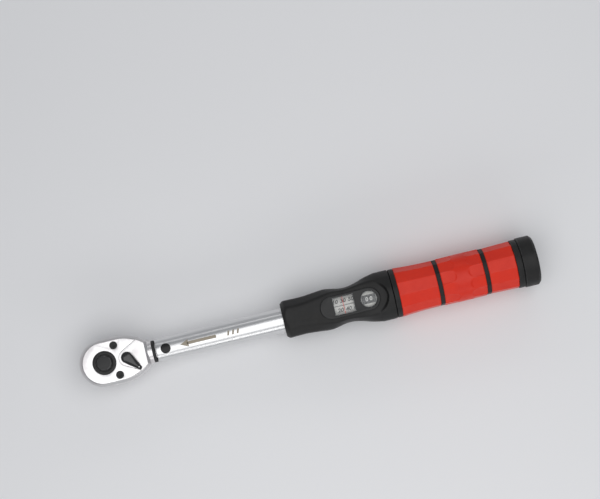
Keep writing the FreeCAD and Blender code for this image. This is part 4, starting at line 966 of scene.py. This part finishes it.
@dataclass
class WindowHousing:
    """Waisted housing with a flat top, a bezel with two windows, and the reading line."""

    top: float = 13.7
    shoulder: float = 6.0
    flank_places: tuple[float, ...] = (
        0.0, 15.4, 24.5, 33.5, 39.6, 45.6, 51.6, 57.7, 63.7, 69.8, 73.5, 82.8)
    flank_halves: tuple[float, ...] = (
        14.0, 13.7, 14.4, 15.2, 14.3, 13.1, 13.2, 14.5, 16.4, 17.8, 18.15, 18.15)
    flat_places: tuple[float, ...] = (0.0, 15.0, 27.5, 38.0, 47.0, 62.5, 82.8)
    flat_halves: tuple[float, ...] = (8.1, 8.0, 9.7, 11.3, 10.9, 12.2, 12.4)
    nose_radius: float = 12.1
    collar_radius: float = 18.15
    collar_start: float = 72.0
    flat_stop: float = 3.4
    step_mm: float = 0.6
    columns: int = 240
    clamp_length: float = 16.0
    hollow_scale: float = 10.95
    hollow_drum: float = 12.2

    def section(self, place: float, turn: float) -> float:
        """Radius of the outer form at a place behind the front end and a turn from the top."""
        side = smooth_through(self.flank_places, self.flank_halves, place)
        flat = smooth_through(self.flat_places, self.flat_halves, place)
        along_y, along_z = abs(math.sin(turn)), math.cos(turn)
        limits = []
        planes = [((0.0, 1.0), self.top), edge_plane((flat, self.top), (side, self.shoulder)),
                  ((1.0, 0.0), side), edge_plane((side, -self.shoulder), (side * 0.55, -side)),
                  ((0.0, -1.0), side)]
        for (normal_y, normal_z), reach in planes:
            facing = normal_y * along_y + normal_z * along_z
            if facing > 1e-6:
                limits.append(reach / facing)
        body = soft_least(limits, 26)
        collar = self.collar_radius * smooth_step(place, self.collar_start - 9, self.collar_start)
        radius = soft_most((body, max(collar, 1.0)), 60) if collar > 6 else body
        flat_end = self.length() - self.flat_stop
        arc = math.sqrt(self.collar_radius ** 2 - self.top ** 2)
        across = radius * math.sin(turn)
        if along_z > 0 and radius * along_z > self.top and abs(across) < arc:
            stop = flat_end - arc + math.sqrt(arc ** 2 - across ** 2)
            lift = smooth_step(place, stop - 0.9, stop + 0.1)
            radius = radius * lift + self.top / along_z * (1 - lift)
        nose = self.nose_radius + place * 0.95
        rear = self.collar_radius - 0.5 + math.sqrt(max(0.25 - max(place - self.length() + 0.5, 0) ** 2, 0))
        return min(soft_least((radius, nose), 50), rear if place > self.length() - 0.5 else 99.0)

    def length(self) -> float:
        """Length of the housing."""
        return high("window_housing").x - low("window_housing").x

    def build_shell(self) -> None:
        """Make the moulded shell with its hollow and the well under the bezel."""
        start, length = low("window_housing").x, self.length()
        places = [0.0, 0.15, 0.3]
        while places[-1] < length - 0.5:
            near_end = places[-1] > length - 18
            places.append(min(places[-1] + (0.3 if near_end else self.step_mm), length - 0.5))
        places += [length - 0.35, length - 0.2, length - 0.08, length]
        rings = []
        for place in places:
            ring = []
            for column in range(self.columns):
                turn = 2 * math.pi * column / self.columns
                radius = self.section(place, turn)
                ring.append((start + place, radius * math.sin(turn), AXIS_Z + radius * math.cos(turn)))
            rings.append(ring)
        shell = make_object("moulded_housing", skin("moulded_housing", rings, crease_deg=40), MOULDED_BLACK)
        drum = low("micrometer_drum").x - 1.0
        clamp = start + self.clamp_length
        tube_radius = high("end_plug").y + 0.02
        hollow = turned("housing_hollow", [
            (start - 3, 0), (start - 3, tube_radius), (clamp, tube_radius), (clamp, self.hollow_scale),
            (drum, self.hollow_scale), (drum, self.hollow_drum), (start + length + 3, self.hollow_drum),
            (start + length + 3, 0)], Along.X, (0, AXIS_Z), MOULDED_BLACK)
        bezel_low, bezel_high = low("window_bezel"), high("window_bezel")
        well = prism("bezel_well", stadium_points(bezel_low.x + 0.8, bezel_high.x - 0.8,
                                                  bezel_high.y - 0.8), AXIS_Z + 2, AXIS_Z + 30)
        for cutter in (hollow, well):
            cut = shell.modifiers.new("cut", "BOOLEAN")
            cut.operation, cut.object, cut.solver = "DIFFERENCE", cutter, "EXACT"
        baked(shell)
        for cutter in (hollow, well):
            bpy.data.objects.remove(cutter)
        shell.data.materials.clear()
        shell.data.materials.append(MOULDED_BLACK.build())
        shell.data.shade_smooth()
        shell.data.set_sharp_from_angle(angle=math.radians(40))
        fit(shell, "tube", "black_plastic", "window_housing")

    def build_windows(self) -> None:
        """Make the bezel, the domed round lens and dress the flat lens and reading line."""
        fit(softened("window_bezel", "window_frame", BEZEL_BLACK, 0.3), "tube", "bezel_plastic",
            "window_bezel")
        eye_low, eye_high = low("round_lens"), high("round_lens")
        centre = ((eye_low.x + eye_high.x) / 2, 0)
        radius = eye_high.y - 0.02
        dome = [(eye_low.z, 0), (eye_low.z, radius, 0.1), (eye_high.z - 0.3, radius, 0.1)]
        dome += [(eye_high.z - 0.3 + 1.5 * math.sin(turn), (radius - 0.4) * math.cos(turn))
                 for turn in (math.pi / 24 * n for n in range(12))]
        dome.append((eye_high.z + 1.2, 0))
        fit(turned("domed_lens", dome, Along.Z, centre, CLEAR_LENS, 72), "tube", "clear_lens",
            "round_lens")
        dress("long_lens", CLEAR_LENS)
        dress("reading_line", RED_LINE)
        dress("housing_screws", BLACK_OXIDE)


def edge_plane(first: Point, second: Point) -> tuple[Point, float]:
    """Outward normal and distance from the origin of the line through two points."""
    run = (second[0] - first[0], second[1] - first[1])
    size = math.hypot(*run)
    normal = (-run[1] / size, run[0] / size)
    reach = normal[0] * first[0] + normal[1] * first[1]
    return (normal, reach) if reach > 0 else ((-normal[0], -normal[1]), -reach)


def soft_least(values: Iterable[float], power: float) -> float:
    """Least of some positive values, with the corner rounded."""
    return sum(v ** -power for v in values) ** (-1 / power)


def soft_most(values: Iterable[float], power: float) -> float:
    """Greatest of some positive values, with the corner rounded."""
    values = list(values)
    top = max(values)
    return top * sum((v / top) ** power for v in values) ** (1 / power) / len(values) ** (0.2 / power)


def smooth_step(value: float, start: float, end: float) -> float:
    """Ease from 0 at start to 1 at end."""
    share = min(max((value - start) / (end - start), 0.0), 1.0)
    return share * share * (3 - 2 * share)


def smooth_through(places: Sequence[float], values: Sequence[float], place: float) -> float:
    """A smooth curve through values at rising places."""
    last = len(places) - 1
    number = min(max(int(np.searchsorted(places, place)) - 1, 0), last - 1)

    def slope(at: int) -> float:
        """Slope of the curve at a place."""
        before, after = max(at - 1, 0), min(at + 1, last)
        return (values[after] - values[before]) / (places[after] - places[before])

    width = places[number + 1] - places[number]
    t = min(max((place - places[number]) / width, 0.0), 1.0)
    return ((2 * t ** 3 - 3 * t ** 2 + 1) * values[number] + (t ** 3 - 2 * t ** 2 + t) * width * slope(number)
            + (3 * t ** 2 - 2 * t ** 3) * values[number + 1] + (t ** 3 - t ** 2) * width * slope(number + 1))


def stadium_points(start: float, end: float, half: float, steps: int = 24) -> list[Point]:
    """Outline with straight flanks and half-round ends."""
    points = []
    for centre, first in ((end - half, -math.pi / 2), (start + half, math.pi / 2)):
        for step in range(steps + 1):
            turn = first + math.pi * step / steps
            points.append((centre + half * math.cos(turn), half * math.sin(turn)))
    return points


def prism(name: str, outline: Sequence[Point], bottom: float, top: float) -> bpy.types.Object:
    """An upright solid with the given outline."""
    rings = [[(x, y, level) for x, y in outline] for level in (bottom, top)]
    return make_object(name, skin(name, rings), MOULDED_BLACK)


# ---------------------------------------------------------------- scale and drum

@dataclass
class Scale:
    """White sleeve with two rows of slanted numbers on each side of a ticked middle line."""

    first: int = 10
    last: int = 60
    at_rest: int = 30
    travel: float = 15.0
    row: float = 3.4
    type_size: float = 4.3
    slant: float = 0.25

    def build(self) -> None:
        """Make the sleeve, its line, ticks and numbers."""
        sleeve_low, sleeve_high = low("scale_sleeve"), high("scale_sleeve")
        radius = sleeve_high.y
        fit(softened("scale_sleeve", "torque_scale", SCALE_WHITE, 0.15), "scale", "scale_metal",
            "scale_sleeve")
        line = (low("reading_line").x + high("reading_line").x) / 2
        per_unit = self.travel / (self.last - self.first)
        ground = radius + 0.01
        start = line + (self.first - self.at_rest) * per_unit
        fit(TICK_ROW.run("scale_ticks", INK_BLACK, count=self.last - self.first + 1, start=start * MM,
                         across=0.0, pitch=per_unit * MM, width=0.11 * MM, length=0.9 * MM,
                         depth=0.04 * MM, long_every=5.0, long_scale=1.7, radius=ground * MM,
                         axis_height=AXIS_Z * MM), "scale", "drum_plastic")
        bar = [(sleeve_low.x + 1, -0.16), (sleeve_high.x - 1, -0.16), (sleeve_high.x - 1, 0.16),
               (sleeve_low.x + 1, 0.16)]
        parts = [(flat_print(bar, 0.04), 0.0, 0.0)]
        for number, value in enumerate(range(self.first, self.last + 1, 10)):
            side = 1 if number % 2 == 0 else -1
            place = line + (value - self.at_rest) * per_unit
            parts.append((lettering(str(value), self.type_size, self.slant, 0.04), place, side * self.row))
        fit(wrapped("scale_numbers", parts, ground, INK_BLACK), "scale", "drum_plastic")


@dataclass
class MicrometerDrum:
    """White drum rim with black panels that carry white numbers."""

    panels: int = 5
    panel_width: float = 6.6
    type_size: float = 4.1
    marks: int = 50

    def build(self) -> None:
        """Make the drum, its panels, numbers and edge marks."""
        drum_low, drum_high = low("micrometer_drum"), high("micrometer_drum")
        eye = (low("round_lens").x + high("round_lens").x) / 2
        radius = drum_high.y
        fit(softened("micrometer_drum", "fine_drum", SCALE_WHITE, 0.2), "grip", "drum_plastic",
            "micrometer_drum")
        length = 2 * (eye - drum_low.x) - 0.8
        fit(DIAL.run("drum_panels", DRUM_BLACK, count=self.panels, start=eye * MM, first_turn=0.0,
                     length=length * MM, width=self.panel_width * MM, depth=0.04 * MM, columns=12,
                     radius=(radius + 0.01) * MM, axis_height=AXIS_Z * MM), "grip", "drum_plastic")
        fit(DIAL.run("drum_marks", INK_BLACK, count=self.marks, start=(drum_low.x + 0.9) * MM,
                     first_turn=0.0, length=1.2 * MM, width=0.22 * MM, depth=0.06 * MM, columns=2,
                     radius=(radius + 0.02) * MM, axis_height=AXIS_Z * MM), "grip", "drum_plastic")
        parts = []
        for number in range(self.panels):
            around = 2 * math.pi * radius * number / self.panels
            parts.append((lettering(f"{number} 0" if number else "0 0", self.type_size, 0.1, 0.05), eye,
                          around))
        fit(wrapped("drum_numbers", parts, radius + 0.045, INK_WHITE), "grip", "scale_metal")


# ---------------------------------------------------------------- grip

@dataclass
class FacetSleeve:
    """Red sleeve with twelve flats whose ends run out rounded."""

    node: str
    name: str
    places: tuple[float, ...]
    corners: tuple[float, ...]
    bulge: float = 0.0
    flat_ends: tuple[float, float] = (-1.0, 999.0)
    facets: int = 12
    turn_deg: float = 10.0
    columns: int = 288
    step_mm: float = 0.5
    rounding: float = 0.7
    inner: float = 13.6

    def radius(self, place: float, turn: float) -> float:
        """Radius at a place behind the sleeve's front end and a turn from the top towards -Y."""
        length = self.length()
        corner = smooth_through(self.places, self.corners, place / length)
        part = 2 * math.pi / self.facets
        off = (turn - math.radians(self.turn_deg)) % part
        apothem = corner * math.cos(part / 2)
        flat = apothem / math.cos(off - part / 2)
        if self.bulge:
            half = apothem * math.tan(part / 2)
            across = abs(apothem * math.tan(off - part / 2))
            past = max(place - (self.flat_ends[0] - half), 0.0)
            back = max((self.flat_ends[1] + half) - place, 0.0)
            front_gap = math.hypot(past, across) - half if past else across - half
            back_gap = math.hypot(back, across) - half if back else across - half
            outside = min(front_gap, back_gap)
            share = smooth_step(outside, -0.45, 0.15)
            flat = flat + (max(self.bulge, flat) - flat) * share
        end = min(place, length - place)
        if end < self.rounding:
            flat -= self.rounding - math.sqrt(max(self.rounding ** 2 - (self.rounding - end) ** 2, 0))
        return flat

    def length(self) -> float:
        """Length of the sleeve."""
        return high(self.node).x - low(self.node).x

    def build(self) -> None:
        """Make the sleeve."""
        start, length = low(self.node).x, self.length()
        places = [0.0, 0.03, 0.12, 0.3, 0.5]
        while places[-1] < length - 1.0:
            places.append(places[-1] + self.step_mm)
        places = [p for p in places if p < length - 0.6] + [length - p for p in (0.5, 0.3, 0.12, 0.03, 0.0)]
        rings = []
        for place in places:
            ring = []
            for column in range(self.columns):
                turn = 2 * math.pi * column / self.columns
                radius = self.radius(place, turn)
                ring.append((start + place, -radius * math.sin(turn), AXIS_Z + radius * math.cos(turn)))
            rings.append(ring)
        for place in (length, 0.0):
            rings.append([(start + place, -self.inner * math.sin(2 * math.pi * c / self.columns),
                           AXIS_Z + self.inner * math.cos(2 * math.pi * c / self.columns))
                          for c in range(self.columns)])
        fit(make_object(self.name, skin(self.name, rings, loop=True, crease_deg=50), RED_GRIP), "grip",
            "red_grip", self.node)


@dataclass
class Grip:
    """Black core with its rings, and three red sleeves."""

    ring_round: float = 0.6
    sleeves: list[FacetSleeve] = field(default_factory=lambda: [
        FacetSleeve("grip_front", "front_sleeve", (0.0, 0.25, 0.6, 1.0), (18.5, 17.9, 17.4, 17.15)),
        FacetSleeve("grip_middle", "middle_sleeve", (0.0, 0.35, 0.65, 1.0), (17.15, 17.6, 17.6, 17.15),
                    bulge=17.55, flat_ends=(11.5, 20.8)),
        FacetSleeve("grip_rear", "rear_sleeve", (0.0, 0.4, 1.0), (17.15, 17.45, 17.75)),
    ])

    def build(self) -> None:
        """Make the core, the rings and the sleeves."""
        fit(softened("grip_core", "grip_core_moulding", MOULDED_BLACK, 0.25), "grip", "black_plastic",
            "grip_core")
        for node, name in (("front_ring", "grip_front_ring"), ("rear_ring", "grip_rear_ring")):
            fit(softened(node, name, MOULDED_BLACK, self.ring_round, 4), "grip", "black_plastic", node)
        for sleeve in self.sleeves:
            sleeve.build()


@dataclass
class LockKnob:
    """Black knob at the rear that is pulled to unlock the grip."""

    rounding: float = 0.9

    def build(self) -> None:
        """Make the knob and its screw."""
        fit(softened("lock_knob", "rear_lock_knob", MOULDED_BLACK, self.rounding, 5), "lock",
            "black_plastic", "lock_knob")
        fit(softened("knob_screw", "rear_knob_screw", BLACK_OXIDE, 0.2), "lock", "black_steel",
            "knob_screw")


@dataclass
class InnerWorks:
    """Parts inside that keep their CAD shape."""

    steel: tuple[str, ...] = ("detent_ball", "trip_block", "plunger", "spring_seat", "adjusting_nut",
                              "scale_keys", "spindle", "thrust_bearing", "end_plug", "lock_sleeve",
                              "lock_key")
    black: tuple[str, ...] = ("pawl", "shaft_clip", "button_clip", "grip_snap_ring")
    def build(self) -> None:
        """Dress every inner part."""
        for node in self.steel:
            dress(node, BRIGHT_STEEL)
        for node in self.black:
            dress(node, BLACK_OXIDE)
        dress("grip_bushes", BRASS)


@dataclass
class Spring:
    """Coil spring that stands for a CAD spring."""

    node: str
    name: str
    body: str
    joint: str
    along: Along
    turns: float
    wire: float
    stroke: float
    held_at_low_end: bool

    def build(self) -> None:
        """Make the spring between its two seats."""
        bottom, top = low(self.node), high(self.node)
        middle = (bottom + top) / 2
        outer = (top.y - bottom.y) / 2
        if self.along is Along.X:
            length, seat, turned_by = top.x - bottom.x, (bottom.x + self.wire, 0, AXIS_Z), (0, math.pi / 2, 0)
        else:
            length, seat, turned_by = top.z - bottom.z, (middle.x, 0, bottom.z + self.wire), (0, 0, 0)
        piece = COIL.run(self.name, SPRING_STEEL, turns=self.turns, radius=(outer - self.wire) * MM,
                         length=(length - 2 * self.wire) * MM, wire=self.wire * MM,
                         seat=Vector(seat) * MM, turned=turned_by)
        fit(piece, self.body, "spring_steel", self.node)
        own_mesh(piece)


# ---------------------------------------------------------------- studio

@dataclass
class Studio:
    """Pale floor, soft lights and the camera."""

    turn_deg: float = 13.6
    tilt_deg: float = 4.5
    distance: float = 1.3
    view_width: float = 0.445
    look_at: tuple[float, float, float] = (0.1590, 0.0481, 0.021)

    def build(self) -> None:
        """Make the floor, the lights, the world and the camera."""
        self.build_floor()
        self.build_world()
        centre = Vector((CAD_BOX[1][0] / 2, 0.0, 0.0))
        self.build_light("overhead_soft", centre + Vector((0.05, -0.16, 0.95)), centre, (1.5, 1.0), 6.4)
        self.build_light("front_strip", centre + Vector((-0.05, -0.62, 0.30)), centre, (0.9, 0.16), 0.9)
        self.build_light("back_strip", centre + Vector((0.1, 0.60, 0.36)), centre, (0.9, 0.14), 0.35)
        self.build_camera()
        bpy.context.scene.view_settings.view_transform = "Standard"

    def build_floor(self) -> None:
        """A pale plain floor at the foot of the object."""
        level = CAD_BOX[0][2]
        mesh = bpy.data.meshes.new("floor")
        mesh.from_pydata([(-4, -4, level), (4, -4, level), (4, 4, level), (-4, 4, level)], [], [(0, 1, 2, 3)])
        floor = bpy.data.objects.new("floor", mesh)
        bpy.context.scene.collection.objects.link(floor)
        material = bpy.data.materials.new("pale_floor")
        material.use_nodes = True
        shader = material.node_tree.nodes["Principled BSDF"]
        shader.inputs["Base Color"].default_value = (0.82, 0.82, 0.83, 1)
        shader.inputs["Roughness"].default_value = 0.7
        mesh.materials.append(material)

    def build_world(self) -> None:
        """A soft even surround."""
        world = bpy.data.worlds.new("surround")
        bpy.context.scene.world = world
        world.use_nodes = True
        world.node_tree.nodes["Background"].inputs["Color"].default_value = (0.92, 0.95, 1.0, 1)
        world.node_tree.nodes["Background"].inputs["Strength"].default_value = 0.3

    def build_light(self, name: str, place: Vector, aim: Vector, size: Point, power: float) -> None:
        """Add an area light that faces a point."""
        lamp = bpy.data.lights.new(name, "AREA")
        lamp.shape, lamp.size, lamp.size_y, lamp.energy = "RECTANGLE", size[0], size[1], power
        holder = bpy.data.objects.new(name, lamp)
        bpy.context.scene.collection.objects.link(holder)
        holder.location = place
        holder.rotation_euler = (aim - place).to_track_quat("-Z", "Y").to_euler()

    def build_camera(self) -> None:
        """Set the camera nearly above the wrench, with the handle up to the right."""
        camera = bpy.data.cameras.new("view")
        camera.sensor_width = 36.0
        camera.lens = camera.sensor_width * self.distance / self.view_width
        holder = bpy.data.objects.new("view", camera)
        bpy.context.scene.collection.objects.link(holder)
        turn = Matrix.Rotation(math.radians(-self.turn_deg), 4, "Z")
        tilt = Matrix.Rotation(math.radians(self.tilt_deg), 4, "X")
        holder.matrix_world = (Matrix.Translation(self.look_at) @ turn @ tilt
                               @ Matrix.Translation((0, 0, self.distance)))
        bpy.context.scene.camera = holder


def clear_startup() -> None:
    """Remove the objects that Blender starts with."""
    for name in ("Cube", "Light", "Camera"):
        item = bpy.data.objects.get(name)
        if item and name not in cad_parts:
            bpy.data.objects.remove(item)


def main() -> None:
    """Build the sub-assemblies in order."""
    logging.basicConfig(level=logging.INFO, format="%(message)s")
    clear_startup()
    head = RatchetHead()
    head.build_body()
    head.build_drive()
    ReversingLever().build()
    tube = Tube()
    tube.build()
    tube.build_mark()
    housing = WindowHousing()
    housing.build_shell()
    housing.build_windows()
    Scale().build()
    MicrometerDrum().build()
    Grip().build()
    LockKnob().build()
    InnerWorks().build()
    for spring in (
            Spring("main_spring", "torque_spring", "tube", "scale_slide", Along.X, 11.0, 1.15, 9.0, True),
            Spring("button_spring", "quick_release_spring", "drive", "release_press", Along.Z, 3, 0.35,
                   3.0, True),
            Spring("lock_spring", "knob_return_spring", "grip", "lock_pull", Along.X, 3, 0.5, 4.0,
                   False)):
        spring.build()
    Studio().build()


if __name__ == "__main__":
    main()
